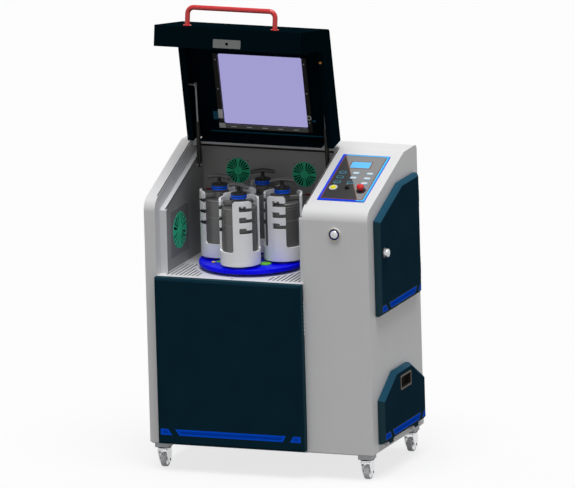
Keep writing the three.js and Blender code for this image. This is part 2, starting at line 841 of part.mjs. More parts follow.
function deck() {
  const left = bayLeft + seatGap;
  const right = bayRight - seatGap;
  const rear = rearWallSetback + railLip;
  const tray = block(left, 0, deckHeight - deckLip, right, rear, deckHeight);
  const under = block(left + sheet, sheet, deckHeight - deckLip - overrun, right - sheet, rear - sheet,
    deckHeight - sheet);
  const neck = rodZ(housingShoulderDiameter + 2 * seatGap, [bayMiddle, discCentreSetback],
    deckHeight - deckLip - overrun, deckHeight + overrun, 20);
  const first = bayLeft + seatWidth + ventSideInset;
  const vents = Array.from({ length: ventCount }, (_, index) => first + index * ventPitch)
    .flatMap((x) => [ventSlot(x), ventSlot(2 * bayMiddle - x)]);
  const bolt = rodZ(strikeHoleDiameter, [bayMiddle, strikeSetback()], deckHeight - sheet - overrun,
    deckHeight + overrun, 12);
  return cut(tray, under, neck, bolt, ...vents);
}

function strikeSetback() {
  return -panelProud + strikeInset + strikeDepth / 2;
}

function frontPanel() {
  const left = bayLeft + panelSideGap;
  const right = bayRight - panelSideGap;
  const basis = [axisX, axisZ, axisY.clone().negate()];
  const outline = rectangle(left, panelFoot, right, deckHeight);
  const plate = moved(bevelledPlate(outline, panelProud - seatGap, panelBevel, basis), 0, -seatGap, 0);
  const inside = block(left + panelSheet, panelBevel - panelProud, panelFoot + panelSheet, right - panelSheet,
    overrun, deckHeight - panelSheet);
  return cut(plate, inside);
}

// Gears: teeth with straight flanks, a little thin so that they run free
function gearOutline(teeth, turn) {
  const pitch = 2 * Math.PI / teeth;
  const tip = gearModule * (teeth / 2 + toothAddendumShare);
  const root = gearModule * (teeth / 2 - toothDedendumShare);
  return Array.from({ length: teeth }, (_, index) => turn + index * pitch).flatMap((middle) => [
    [root, middle - toothRootShare * pitch],
    [tip, middle - toothTipShare * pitch],
    [tip, middle + toothTipShare * pitch],
    [root, middle + toothRootShare * pitch],
  ]).map(([radius, angle]) => [radius * Math.cos(angle), radius * Math.sin(angle)]);
}

function sunGear() {
  const gear = alongZ(gearOutline(sunTeeth, 0), gearFoot, gearTop);
  const bore = rodZ(housingNeckDiameter + 2 * seatGap, [0, 0], gearFoot - overrun, gearTop + overrun, 20);
  return moved(cut(gear, bore), bayMiddle, discCentreSetback, 0);
}

// Drive below the deck
const flangeTop = deckHeight - sheet - seatGap;
const housingFoot = flangeTop - housingLength;
const pulleyTop = housingFoot - pulleyGap;
const pulleyFoot = pulleyTop - pulleyWidth;
const beltMiddle = (pulleyTop + pulleyFoot) / 2;

function bearingHousing() {
  const bore = shaftDiameter / 2 + runningGap;
  const shoulderTop = gearFoot - seatGap;
  return moved(turned([
    [bore, housingFoot],
    [housingBodyDiameter / 2, housingFoot],
    [housingBodyDiameter / 2, flangeTop - housingFlangeThickness],
    [housingFlangeDiameter / 2, flangeTop - housingFlangeThickness],
    [housingFlangeDiameter / 2, flangeTop],
    [housingShoulderDiameter / 2, flangeTop],
    [housingShoulderDiameter / 2, shoulderTop],
    [housingNeckDiameter / 2, shoulderTop],
    [housingNeckDiameter / 2, gearTop],
    [bore, gearTop],
  ], 20), bayMiddle, discCentreSetback, 0);
}

function pulleyRim(diameter) {
  const radius = diameter / 2;
  const half = beltWidth / 2 + seatGap;
  return [
    [radius, pulleyFoot],
    [radius, beltMiddle - half],
    [radius - beltGrooveDepth, beltMiddle - half],
    [radius - beltGrooveDepth, beltMiddle + half],
    [radius, beltMiddle + half],
    [radius, pulleyTop],
  ];
}

function mainShaft() {
  const shaft = shaftDiameter / 2;
  const shoulder = shaftShoulderDiameter / 2;
  const cap = shaftCapDiameter / 2;
  return moved(turned([
    [0, pulleyFoot],
    ...pulleyRim(largePulleyDiameter),
    [shaft, pulleyTop],
    [shaft, gearTop + seatGap],
    [shoulder, gearTop + seatGap],
    [shoulder, discUnderside - seatGap],
    [shaft, discUnderside - seatGap],
    [shaft, discTop + seatGap],
    [cap, discTop + seatGap],
    [cap, discTop + shaftCapHeight],
    [0, discTop + shaftCapHeight],
  ], 16), bayMiddle, discCentreSetback, 0);
}

function motorPulley() {
  const bore = motorShaftDiameter / 2 + seatGap;
  return moved(turned([[bore, pulleyFoot], ...pulleyRim(smallPulleyDiameter), [bore, pulleyTop]], 16),
    bayMiddle - driveSpan, discCentreSetback, 0);
}

// The belt runs round both pulleys on their common tangents
function beltLoop(largeRadius, smallRadius) {
  const wrap = Math.acos(-(largeRadius - smallRadius) / driveSpan);
  const arc = (middle, radius, from, to, steps) => Array.from({ length: steps + 1 }, (_, step) => {
    const angle = from + (to - from) * step / steps;
    return [middle + radius * Math.cos(angle), discCentreSetback + radius * Math.sin(angle)];
  });
  return [
    ...arc(bayMiddle, largeRadius, -wrap, wrap, 16),
    ...arc(bayMiddle - driveSpan, smallRadius, wrap, 2 * Math.PI - wrap, 8),
  ];
}

function driveBelt() {
  const large = largePulleyDiameter / 2 - beltGrooveDepth + 2 * seatGap;
  const small = smallPulleyDiameter / 2 - beltGrooveDepth + 2 * seatGap;
  const low = beltMiddle - beltWidth / 2;
  const high = beltMiddle + beltWidth / 2;
  return cut(
    alongZ(beltLoop(large + beltThickness, small + beltThickness), low, high),
    alongZ(beltLoop(large, small), low - overrun, high + overrun),
  );
}

function driveMotor() {
  const middle = [bayMiddle - driveSpan, discCentreSetback];
  const plateTop = pulleyFoot - pulleyGap;
  const plateFoot = plateTop - motorPlateThickness;
  const wall = bayLeft + seatGap;
  const half = motorPlateSize / 2;
  const boxFront = middle[1] - motorDiameter / 2;
  const boxMiddle = plateFoot - motorLength / 2;
  return join(
    rodZ(motorDiameter, middle, plateFoot - motorLength, plateFoot + motorPlateThickness / 2, 20),
    block(wall, middle[1] - half, plateFoot, middle[0] + half, middle[1] + half, plateTop),
    block(wall, middle[1] - half, plateTop - motorBracketDrop, wall + motorPlateThickness,
      middle[1] + half, plateTop),
    rodZ(motorShaftDiameter, middle, plateFoot, pulleyTop, 16),
    block(middle[0] - terminalBoxSize / 2, boxFront - terminalBoxReach, boxMiddle - terminalBoxSize / 2,
      middle[0] + terminalBoxSize / 2, middle[1], boxMiddle + terminalBoxSize / 2),
  );
}

function inverterDrive() {
  const left = innerLeft + seatGap;
  const top = inverterFloor + inverterHeight;
  const rear = inverterSetback + inverterLength;
  const body = block(left, inverterSetback, inverterFloor, left + inverterWidth, rear, top);
  const pitch = inverterHeight / inverterRibs;
  const grooves = Array.from({ length: inverterRibs - 1 }, (_, index) => {
    const low = inverterFloor + index * pitch + inverterRibWall;
    return block(left - overrun, rear - inverterRibDepth, low, left + inverterWidth - inverterRibWall,
      rear + overrun, low + pitch - inverterRibWall);
  });
  return cut(body, ...grooves);
}

function rotorDisc() {
  const rimFoot = discTop - discRimDrop;
  const bore = shaftDiameter / 2 + seatGap;
  const profile = rounded([
    [bore, discUnderside],
    [discRadius - discRimWall, discUnderside],
    [discRadius - discRimWall, rimFoot],
    [discRadius, rimFoot],
    [discRadius, discTop],
    [bore, discTop],
  ], [0, 0, 0, discEdgeRadius, discEdgeRadius, 0], 1);
  const web = turned(profile, 40);
  const aroundDisc = (radius, angle) => [radius * Math.cos(angle), radius * Math.sin(angle)];
  const quarter = 2 * Math.PI / jarCount;
  const bossRadius = jarPitchRadius - bossInset;
  const boss = (index) => rodZ(bossDiameter, aroundDisc(bossRadius, (index + 1 / 2) * quarter),
    discTop - discWeb / 2, discTop + bossHeight, 12);
  const hole = (index) => rodZ(spindleDiameter + 2 * runningGap, aroundDisc(jarPitchRadius, index * quarter),
    discUnderside - overrun, discTop + overrun, 20);
  const bosses = Array.from({ length: jarCount }, (_, index) => boss(index));
  const bores = Array.from({ length: jarCount }, (_, index) => hole(index));
  return moved(cut(join(web, ...bosses), ...bores), bayMiddle, discCentreSetback, 0);
}

// Jar holder: a cup with three arms, each with bayonet slots that open to its right side
function holderWindow() {
  const half = holderWindowWidth / 2;
  const foot = holderFloorHeight + holderCupHeight;
  const corner = holderWindowRadius;
  const flare = (side) => [0, 1, 2].map((step) => {
    const angle = step * Math.PI / 4;
    return [side * (half + corner - corner * Math.cos(angle)), holderTop - corner + corner * Math.sin(angle)];
  });
  const sides = [[-half, foot], [half, foot], [half, holderTop - corner], [-half, holderTop - corner]];
  const outline = rounded(sides, [corner, corner, 0, 0], 2).slice(0, -2);
  const top = [[half + corner, holderTop + overrun], [-half - corner, holderTop + overrun]];
  const radius = holderDiameter / 2;
  return alongY([...outline, ...flare(1), ...top, ...flare(-1).reverse()], 0, radius + overrun);
}

function holderSlot(index) {
  const radius = holderDiameter / 2;
  const armAngle = Math.PI / holderArms - Math.asin(holderWindowWidth / 2 / radius);
  const armHalf = radius * Math.sin(armAngle);
  const [nearShare, farShare] = slotPocketShares;
  const deep = armHalf - 2 * armHalf * nearShare;
  const step = armHalf - 2 * armHalf * farShare;
  const top = holderTop - slotTopInset - index * slotPitch;
  const foot = top - slotPocketHeight;
  const mouth = -armHalf - overrun;
  return alongY([
    [deep, foot],
    [deep, top],
    [step, top],
    [step, foot + slotEntryHeight],
    [mouth, foot + slotEntryHeight],
    [mouth, foot],
  ].reverse(), radius - 2 * holderWall, radius + overrun);
}

function jarHolder(planetTurn) {
  const radius = holderDiameter / 2;
  const floorTop = holderFloorHeight + holderFloor;
  const flangeFoot = discTop + runningGap;
  const spindle = spindleDiameter / 2;
  const flange = spindleFlangeDiameter / 2;
  const body = turned([
    [0, gearFoot],
    [spindle, gearFoot],
    [spindle, flangeFoot],
    [flange, flangeFoot],
    [flange, holderFloorHeight],
    [radius, holderFloorHeight],
    [radius, holderTop],
    [radius - holderWall, holderTop],
    [radius - holderWall, floorTop],
    [0, floorTop],
  ], 20);
  const armTurn = (arm) => THREE.MathUtils.degToRad(holderArmOffsetDegrees) + 2 * Math.PI * arm / holderArms;
  const arms = Array.from({ length: holderArms }, (_, arm) => arm);
  const window = holderWindow();
  const windows = arms.map((arm) => spun(window, axisZ, armTurn(arm) + Math.PI / holderArms - Math.PI / 2));
  const column = Array.from({ length: slotsPerArm }, (_, index) => holderSlot(index));
  const slots = arms.flatMap((arm) => column.map((slot) => spun(slot, axisZ, armTurn(arm) - Math.PI / 2)));
  const planet = alongZ(gearOutline(planetTeeth, planetTurn), gearFoot, gearTop);
  return join(cut(body, ...windows, ...slots), planet);
}

const jarRadius = holderDiameter / 2 - holderWall - jarClearance;
const jarFoot = holderFloorHeight + holderFloor + seatGap;
const coverFoot = jarFoot + jarHeight + seatGap;
const coverTop = coverFoot + coverHeight;
const yokePinHeight = holderTop - slotTopInset - yokePinDiameter / 2 - seatGap;
const yokeTop = yokePinHeight + yokeHeight / 2;
const knobFoot = yokeTop + knobLift;
const screwFoot = coverTop - sheet;

function millingJar() {
  return turned([
    [0, jarFoot],
    [jarRadius, jarFoot],
    [jarRadius, jarFoot + jarHeight],
    [jarRadius - jarWall, jarFoot + jarHeight],
    [jarRadius - jarWall, jarFoot + jarWall],
    [0, jarFoot + jarWall],
  ], 20);
}

// The cover with the yoke on it, whose three pins lie in the uppermost slots of the holder
function jarCover() {
  const bore = screwDiameter / 2 + seatGap;
  const plug = jarRadius - jarWall - jarClearance;
  const body = turned([
    [0, coverFoot - coverPlug],
    [plug, coverFoot - coverPlug],
    [plug, coverFoot],
    [jarRadius, coverFoot],
    [jarRadius, coverTop],
    [yokeHubDiameter / 2, coverTop],
    [yokeHubDiameter / 2, knobFoot - knobGap],
    [bore, knobFoot - knobGap],
    [bore, screwFoot],
    [0, screwFoot],
  ], 20);
  const armEnd = holderDiameter / 2 - holderWall - 2 * jarClearance;
  const pinEnd = holderDiameter / 2 - jarClearance;
  const arms = Array.from({ length: holderArms }, (_, arm) => {
    const angle = THREE.MathUtils.degToRad(holderArmOffsetDegrees) + 2 * Math.PI * arm / holderArms;
    const bar = block(yokeHubDiameter * yokeRootShare, -yokeArmWidth / 2, yokeTop - yokeHeight,
      armEnd, yokeArmWidth / 2, yokeTop);
    const pin = rodX(yokePinDiameter, [0, yokePinHeight], armEnd - yokePinDiameter, pinEnd, 6);
    return spun(join(bar, pin), axisZ, angle);
  });
  return join(body, ...arms);
}

// The clamp's bar: arched, with its middle at zero
function clampBar() {
  const end = (side) => new THREE.Vector3(side * handleSpan / 2, 0, -handleArch);
  const path = new THREE.QuadraticBezierCurve3(end(-1), new THREE.Vector3(0, 0, handleArch), end(1));
  const section = outlineShape(circle(handleBarDiameter / 2, 8));
  const settings = { steps: handleSteps, bevelEnabled: false, extrudePath: path };
  return toSolid(new THREE.ExtrudeGeometry(section, settings));
}

function clampScrew(yawDegrees) {
  const knob = knobDiameter / 2;
  const knobTop = knobFoot + knobHeight;
  const barHeight = knobTop + handleLift + handleBarDiameter / 2;
  const body = turned([
    [0, screwFoot + seatGap],
    [screwDiameter / 2, screwFoot + seatGap],
    [screwDiameter / 2, knobFoot],
    [knob, knobFoot],
    [knob, knobTop],
    [stemDiameter / 2, knobTop],
    [stemDiameter / 2, barHeight],
    [0, barHeight],
  ], 14);
  const bar = spun(clampBar(), axisZ, THREE.MathUtils.degToRad(yawDegrees));
  return join(body, moved(bar, 0, 0, barHeight));
}

// Fan impeller on a vertical axis, from zero to its thickness
function fanImpeller(diameter) {
  const hub = fanHubDiameter / 2;
  const body = turned([
    [fanPinDiameter / 2 + seatGap, 0],
    [hub, 0],
    [hub, fanThickness],
    [fanPinDiameter / 2 + seatGap, fanThickness],
  ], 10);
  const tip = diameter / 2 - fanTipClearance;
  const half = (fanThickness - fanBladeThickness) / 2;
  const blades = Array.from({ length: fanBlades }, (_, index) => {
    const blade = block(hub - fanHubWall, -half, -fanBladeThickness / 2, tip, half, fanBladeThickness / 2);
    const pitched = spun(blade, axisX, THREE.MathUtils.degToRad(fanBladePitchDegrees));
    return spun(moved(pitched, 0, 0, fanThickness / 2), axisZ, 2 * Math.PI * index / fanBlades);
  });
  return join(body, ...blades);
}

// Lid, drawn closed. lidPoint gives (y, z) at a distance along the slope and in from its outer face
const lidCorner = [-panelProud, slopeHeight(-panelProud, -panelProud)];
const lidPoint = (along, inward) => [
  lidCorner[0] + along * slopeRunUnit + inward * slopeRiseUnit,
  lidCorner[1] + along * slopeRiseUnit - inward * slopeRunUnit,
];
const hingeReach = [hingeAxis[0] - lidCorner[0], hingeAxis[1] - lidCorner[1]];
const hingeAlong = hingeReach[0] * slopeRunUnit + hingeReach[1] * slopeRiseUnit;
const hingeInward = hingeReach[0] * slopeRiseUnit - hingeReach[1] * slopeRunUnit;
const lidLength = hingeAlong - hingeWallGap;
const lidFoot = deckHeight + lidFootGap;
const windowLength = lidLength - windowHingeInset - windowFrontInset;
const strutUpperClosed = lidPoint(lidLength - strutUpperHingeInset, strutUpperDepth);
const strutLower = [railSetback - strutLowerLead, rearTopHeight - strutLowerDrop];
const lidLeft = bayLeft + lidSideGap;
const lidRight = bayRight - lidSideGap;
const lidHingeCentres = [bayLeft + hingeSideInset, bayRight - hingeSideInset];

// Where the sloping and the upright face meet at a given depth
const lidBend = (inward) => lidPoint(inward * (1 - slopeRiseUnit) / slopeRunUnit, inward);

// The lid's side profile between two depths, with its hinge end and foot drawn in by endInset
function lidProfile(inset, depth, endInset = inset) {
  return [
    [lidCorner[0] + inset, lidFoot + endInset],
    lidBend(inset),
    lidPoint(lidLength - endInset, inset),
    lidPoint(lidLength - endInset, depth),
    lidBend(depth),
    [lidCorner[0] + depth, lidFoot + endInset],
  ].reverse();
}

function onLid(solid) {
  const place = new THREE.Matrix4().makeTranslation(0, lidCorner[0], lidCorner[1]);
  return placed(solid, place.multiply(new THREE.Matrix4().makeRotationX(slopeAngle)));
}

function lidHingeKnuckle(middle) {
  const half = knuckleLength / 2;
  const web = alongX([
    lidPoint(lidLength - sheet / 2, hingeInward - hingePinDiameter / 2),
    lidPoint(hingeAlong, hingeInward - hingePinDiameter / 2),
    lidPoint(hingeAlong, hingeInward + hingePinDiameter / 2),
    lidPoint(lidLength - sheet / 2, hingeInward + hingePinDiameter / 2),
  ].reverse(), middle - half, middle + half);
  const barrel = rodX(knuckleDiameter, hingeAxis, middle - half, middle + half, 12);
  const bore = rodX(hingePinDiameter + 2 * seatGap, hingeAxis, middle - half - overrun,
    middle + half + overrun, 8);
  return cut(join(web, barrel), bore);
}

function lidStrutStud() {
  const end = bayLeft + strutSideInset - strutEyeWidth / 2 - openPivotGap;
  return rodX(strutPinDiameter, strutUpperClosed, lidLeft + sheet / 2, end, 12);
}

// The end wall at the hinge is notched where a strut passes it
function strutNotch() {
  const low = lidLeft + lidLip;
  const high = bayLeft + strutSideInset + strutCylinderDiameter / 2 + strutNotchGap;
  return onLid(block(low, lidLength - 2 * sheet, -lidDepth - overrun, high, lidLength + overrun,
    -strutNotchDepth));
}

function lidShell() {
  const radii = [0, 0, 0, 0, lidCornerRadius, 0];
  const outside = alongX(rounded(lidProfile(0, lidDepth), radii), lidLeft, lidRight);
  const pocketRadii = [0, 0, 0, 0, lidCornerRadius - sheet, 0];
  const pocketProfile = rounded(lidProfile(sheet, lidDepth - sheet), pocketRadii);
  const pocket = alongX(pocketProfile, lidLeft + sheet, lidRight - sheet);
  const mouthProfile = lidProfile(lidDepth / 2, lidDepth + overrun, sheet);
  const mouth = alongX(mouthProfile, lidLeft + lidLip, lidRight - lidLip);
  const hole = windowBlock(-windowOverlap, -overrun, overrun);
  const strikeLow = strikeSetback() - strikeDepth / 2;
  const strike = block(bayMiddle - strikeWidth / 2, strikeLow, lidFoot - strikeThickness,
    bayMiddle + strikeWidth / 2, strikeLow + strikeDepth, lidFoot + sheet / 2);
  const boltHole = rodZ(strikeHoleDiameter, [bayMiddle, strikeSetback()], lidFoot - overrun,
    lidFoot + overrun, 12);
  const shell = join(cut(outside, pocket, mouth, hole), strike, lidStrutStud(), mirrored(lidStrutStud()),
    ...lidHingeCentres.map(lidHingeKnuckle));
  return cut(shell, boltHole, strutNotch(), mirrored(strutNotch()));
}

// A block in the window's place, grown on all sides, from one depth in the lid to another
function windowBlock(grow, low, high) {
  const top = lidLength - windowHingeInset + grow;
  const foot = lidLength - windowHingeInset - windowLength - grow;
  const half = windowWidth / 2 + grow;
  return onLid(block(bayMiddle - half, foot, -high, bayMiddle + half, top, -low));
}

const lidWindow = () => windowBlock(0, sheet + seatGap, sheet + seatGap + windowThickness);

// The bow handle's centre line: out from one foot, round a bend, across, and back to the other foot
function bowPath() {
  const half = bowSpacing / 2;
  const foot = bowFootHeight / 2;
  const shoulder = bowStandOff - bowBendRadius;
  const corner = (side) => new THREE.Vector3(side * half, bowStandOff, 0);
  const low = (side) => new THREE.Vector3(side * half, shoulder, 0);
  const inner = (side) => new THREE.Vector3(side * (half - bowBendRadius), bowStandOff, 0);
  const path = new THREE.CurvePath();
  path.add(new THREE.LineCurve3(new THREE.Vector3(-half, foot, 0), low(-1)));
  path.add(new THREE.QuadraticBezierCurve3(low(-1), corner(-1), inner(-1)));
  path.add(new THREE.LineCurve3(inner(-1), inner(1)));
  path.add(new THREE.QuadraticBezierCurve3(inner(1), corner(1), low(1)));
  path.add(new THREE.LineCurve3(low(1), new THREE.Vector3(half, foot, 0)));
  return path;
}

function bowTube() {
  const section = outlineShape(circle(bowDiameter / 2, 8));
  const settings = { steps: bowSteps, bevelEnabled: false, extrudePath: bowPath() };
  return toSolid(new THREE.ExtrudeGeometry(section, settings));
}

function lidHandle() {
  const feet = [-1, 1].map((side) => rodY(bowFootDiameter, [side * bowSpacing / 2, 0], 0, bowFootHeight, 12));
  const bow = join(bowTube(), ...feet);
  const place = new THREE.Matrix4().makeTranslation(bayMiddle, -panelProud - seatGap, lidFoot + bowEdgeInset);
  return placed(bow, place.multiply(new THREE.Matrix4().makeRotationZ(Math.PI)));
}

function fixedLidHinge(middle) {
  const half = knuckleLength / 2 + knuckleGap + knuckleEndLength;
  const [y, z] = hingeAxis;
  const radius = knuckleDiameter / 2;
  const leaf = block(middle - half, railSetback, rearTopHeight - sheet / 2, middle + half,
    railSetback + hingeLeafDepth, rearTopHeight + sheet);
  const ends = [-1, 1].flatMap((side) => {
    const inner = side * (knuckleLength / 2 + knuckleGap);
    const span = side < 0 ? [-half, inner] : [inner, half];
    const web = alongX([
      [y, z - radius],
      [railSetback + radius, rearTopHeight],
      [railSetback + 2 * radius, rearTopHeight + sheet],
      [y, z + radius / 2],
    ], middle + span[0], middle + span[1]);
    return [web, rodX(knuckleDiameter, hingeAxis, middle + span[0], middle + span[1], 12)];
  });
  const pin = rodX(hingePinDiameter, hingeAxis, middle - half, middle + half, 8);
  return join(leaf, ...ends, pin);
}

// Gas struts, drawn upright from the lower pivot
function turnedAboutHinge(setback, height, angle) {
  const point = new THREE.Vector2(setback - hingeAxis[0], height - hingeAxis[1]);
  point.rotateAround(new THREE.Vector2(), angle);
  return [hingeAxis[0] + point.x, hingeAxis[1] + point.y];
}

const strutUpperOpen = turnedAboutHinge(...strutUpperClosed, -lidOpenAngle);
const strutRise = [strutUpperOpen[0] - strutLower[0], strutUpperOpen[1] - strutLower[1]];
const strutOpenLength = Math.hypot(...strutRise);

function strutEye(height) {
  const half = strutEyeWidth / 2;
  return cut(
    rodX(strutEyeDiameter, [0, height], -half, half, 10),
    rodX(strutPinDiameter + 2 * seatGap, [0, height], -half - overrun, half + overrun, 12),
  );
}

function strutCylinder() {
  const foot = strutEyeDiameter / 2 + sheet;
  const top = foot + strutCylinderLength;
  const bore = rodZ(strutRodDiameter + 2 * seatGap, [0, 0], foot + sheet, top + overrun, 8);
  const neck = rodZ(strutRodDiameter, [0, 0], strutEyeDiameter / 2 - weldOverlap, foot + weldOverlap, 8);
  return join(strutEye(0), neck, cut(rodZ(strutCylinderDiameter, [0, 0], foot, top, 10), bore));
}

function strutRod() {
  const top = strutOpenLength - strutEyeDiameter / 2 + weldOverlap;
  const rod = rodZ(strutRodDiameter, [0, 0], strutOpenLength - strutRodLength, top, 8);
  return join(strutEye(strutOpenLength), rod);
}

// Control panel on the sloping top of the right column
function slopeButton(side, setback, build) {
  return onSlope(moved(build, side, setback, panelPlateThickness + seatGap), 0);
}

function panelRod(diameter, low, high, sides = 12) {
  return rodZ(diameter, [0, 0], low, high, sides);
}

function controlPanel() {
  const plate = block(panelPlateSide, panelPlateFront, seatGap, panelPlateSide + panelPlateWidth,
    panelPlateFront + panelPlateLength, seatGap + panelPlateThickness);
  const hole = (side, setback, diameter) => (
    moved(panelRod(diameter + 2 * buttonGap, -overrun, overrun), side, setback, 0));
  const stopBaseTop = panelPlateThickness + stopBaseHeight;
  const stopBase = moved(panelRod(stopBaseDiameter, panelPlateThickness / 2, stopBaseTop, 16),
    stopSide, stopSetback, 0);
  const whole = cut(join(plate, stopBase), hole(startSide, startSetback, startDiameter),
    hole(selectorSide, selectorSetback, selectorDiameter / 2), hole(stopSide, stopSetback, stopStemDiameter));
  return onSlope(whole, 0);
}

function startButton() {
  return slopeButton(startSide, startSetback, panelRod(startDiameter, -buttonStem, startProud));
}

function selectorKnob() {
  const shape = join(
    panelRod(selectorDiameter, 0, selectorProud / 2),
    block(-selectorGrip / 2, -selectorDiameter / 2, selectorProud / 3, selectorGrip / 2,
      selectorDiameter / 2, selectorProud),
    panelRod(selectorDiameter / 2, -buttonStem, selectorProud / 2),
  );
  return slopeButton(selectorSide, selectorSetback, shape);
}

function stopButton() {
  const head = turned(rounded([
    [0, stopProud],
    [stopHeadDiameter / 2, stopProud],
    [stopHeadDiameter / 2, stopProud + stopHeadHeight],
    [0, stopProud + stopHeadHeight],
  ], [0, stopFootRadius, stopEdgeRadius, 0], 1), 14);
  const stem = panelRod(stopStemDiameter, -buttonStem, stopProud + stopHeadHeight / 2);
  return slopeButton(stopSide, stopSetback, join(head, stem));
}

function powerButton() {
  const middle = [bayRight + powerSide, powerHeight];
  return rodY(powerButtonDiameter, middle, -powerButtonProud, powerButtonStem, 24);
}

// Doors on the right side: bevelled hollow plates with a knuckle for each pair on the cabinet
function sideDoor(outline, extras, bores) {
  const plate = moved(bevelledPlate(outline(0), doorThickness - doorGap, doorBevel, [axisY, axisZ, axisX]),
    cabinetWidth + doorGap, 0, 0);
  const inside = alongX(outline(doorBevel), cabinetWidth - overrun, cabinetWidth + doorThickness - doorSheet);
  const rimFace = cabinetWidth + doorThickness - doorBevel - doorSheet;
  const rim = alongX(outline(doorSheet), cabinetWidth - overrun, rimFace);
  return cut(join(cut(plate, inside, rim), ...extras), ...bores);
}

function serviceDoor() {
  const [x, y] = doorAxis;
  const half = sideKnuckleLength / 2;
  const web = sideKnuckleDiameter / 4;
  const knuckles = doorHingeCentres.flatMap((centre) => [
    rodZ(sideKnuckleDiameter, doorAxis, centre - half, centre + half, 12),
    block(x - web, doorRearSetback - doorSheet, centre - half, x + web, y, centre + half),
  ]);
  const bores = doorHingeCentres.map((centre) => rodZ(sidePinDiameter + 2 * seatGap, doorAxis,
    centre - half - overrun, centre + half + overrun, 12));
  const knobHole = rodX(doorKnobStem + 2 * seatGap, [doorKnobSetback, doorKnobHeight],
    cabinetWidth, cabinetWidth + doorThickness + overrun, 16);
  return sideDoor(doorOutline, knuckles, [...bores, knobHole]);
}

function lowerHatch() {
  const [x, z] = hatchAxis;
  const half = sideKnuckleLength / 2;
  const web = sideKnuckleDiameter / 4;
  const face = cabinetWidth + doorThickness;
  const knuckles = hatchHingeCentres.flatMap((centre) => [
    rodY(sideKnuckleDiameter, hatchAxis, centre - half, centre + half, 12),
    block(x - web, centre - half, z, x + web, centre + half, hatchFoot + doorSheet),
  ]);
  const bores = hatchHingeCentres.map((centre) => rodY(sidePinDiameter + 2 * seatGap, hatchAxis,
    centre - half - overrun, centre + half + overrun, 12));
  const cup = block(face - pullDepth - doorSheet, pullFrontSetback - doorSheet, pullFoot - doorSheet,
    face - doorSheet / 2, pullRearSetback + doorSheet, pullTop + doorSheet);
  const pull = block(face - pullDepth, pullFrontSetback, pullFoot, face + overrun, pullRearSetback, pullTop);
  return sideDoor(hatchOutline, [...knuckles, cup], [...bores, pull]);
}

function doorKnob() {
  const face = cabinetWidth + doorThickness + seatGap;
  const radius = doorKnobDiameter / 2;
  const knob = turned(rounded([
    [0, -doorThickness / 2],
    [doorKnobStem / 2, -doorThickness / 2],
    [doorKnobStem / 2, 0],
    [radius, 0],
    [radius, doorKnobProud],
    [0, doorKnobProud],
  ], [0, 0, 0, 0, doorKnobEdgeRadius, 0], 2), 14);
  return moved(spun(knob, axisY, Math.PI / 2), face, doorKnobSetback, doorKnobHeight);
}

// Base frame and casters
const casterPlaces = [
  [casterSideInset, casterSetback],
  [cabinetWidth - casterSideInset, casterSetback],
  [casterSideInset, cabinetDepth - casterSetback],
  [cabinetWidth - casterSideInset, cabinetDepth - casterSetback],
];
const wheelHeight = wheelDiameter / 2 - casterHeight;

function baseFrame() {
  const half = casterBlockWidth / 2;
  const plate = block(2 * sheet, 2 * sheet, -trayThickness, cabinetWidth - 2 * sheet,
    cabinetDepth - 2 * sheet, -seatGap);
  const left = bayLeft + seatGap;
  const right = bayRight - seatGap;
  const rear = cabinetDepth - sheet - seatGap;
  const upstands = [
    block(left, 0, -trayThickness, right, sheet, trayRim),
    block(left, rear - sheet, -trayThickness, right, rear, trayRim),
  ];
  const tongue = block(left, 0, -trayThickness, right, 3 * sheet, -seatGap);
  const blocks = casterPlaces.map(([x, y]) => (
    block(x - half, y - half, -casterBlockHeight, x + half, y + half, -trayThickness / 2)));
  const bores = casterPlaces.map(([x, y]) => rodZ(casterStemDiameter + 2 * runningGap, [x, y],
    -casterBlockHeight - overrun, casterStemLength - casterBlockHeight + casterGap, 12));
  return cut(join(plate, tongue, ...upstands, ...blocks), ...bores);
}

// A caster fork about its own swivel axis, with the wheel's axle in it
function casterFork() {
  const crownTop = -casterBlockHeight - casterGap;
  const crownFoot = crownTop - forkCrown;
  const halfDepth = forkDepth / 2;
  const halfWidth = forkWidth / 2;
  const outline = rounded([
    [forkTrail - forkReach, wheelHeight - forkReach],
    [forkTrail + forkReach, wheelHeight - forkReach],
    [halfDepth, crownTop],
    [-halfDepth, crownTop],
  ], [forkReach / 2, forkReach / 2, 0, 0], 1);
  const inner = halfWidth - forkPlate;
  return join(
    rodZ(casterStemDiameter, [0, 0], crownFoot, casterStemLength - casterBlockHeight, 12),
    block(-halfWidth, -halfDepth, crownFoot, halfWidth, halfDepth, crownTop),
    alongX(outline, -halfWidth, -inner),
    alongX(outline, inner, halfWidth),
    rodX(axleDiameter, [forkTrail, wheelHeight], -halfWidth, halfWidth, 8),
  );
}

// The wheel stands on one of its flats, so the flats lie at the wheel's radius
function casterWheel() {
  const step = Math.PI / wheelFlats;
  const radius = wheelDiameter / 2 / Math.cos(step);
  const half = wheelWidth / 2;
  const wheel = turned([
    [axleDiameter / 2 + seatGap, -half],
    [radius, -half],
    [radius, half],
    [axleDiameter / 2 + seatGap, half],
  ], wheelFlats);
  const upright = spun(spun(wheel, axisZ, step), axisY, Math.PI / 2);
  return moved(upright, 0, forkTrail, wheelHeight);
}

// Assembly
const mill = new THREE.Group();
mill.position.set(
  -(cabinetWidth + doorThickness + seatGap + doorKnobProud) / 2,
  (panelProud - cabinetDepth) / 2,
  casterHeight,
);

function groupAt(parent, x, y, z) {
  const group = new THREE.Group();
  group.position.set(x, y, z);
  parent.add(group);
  return group;
}

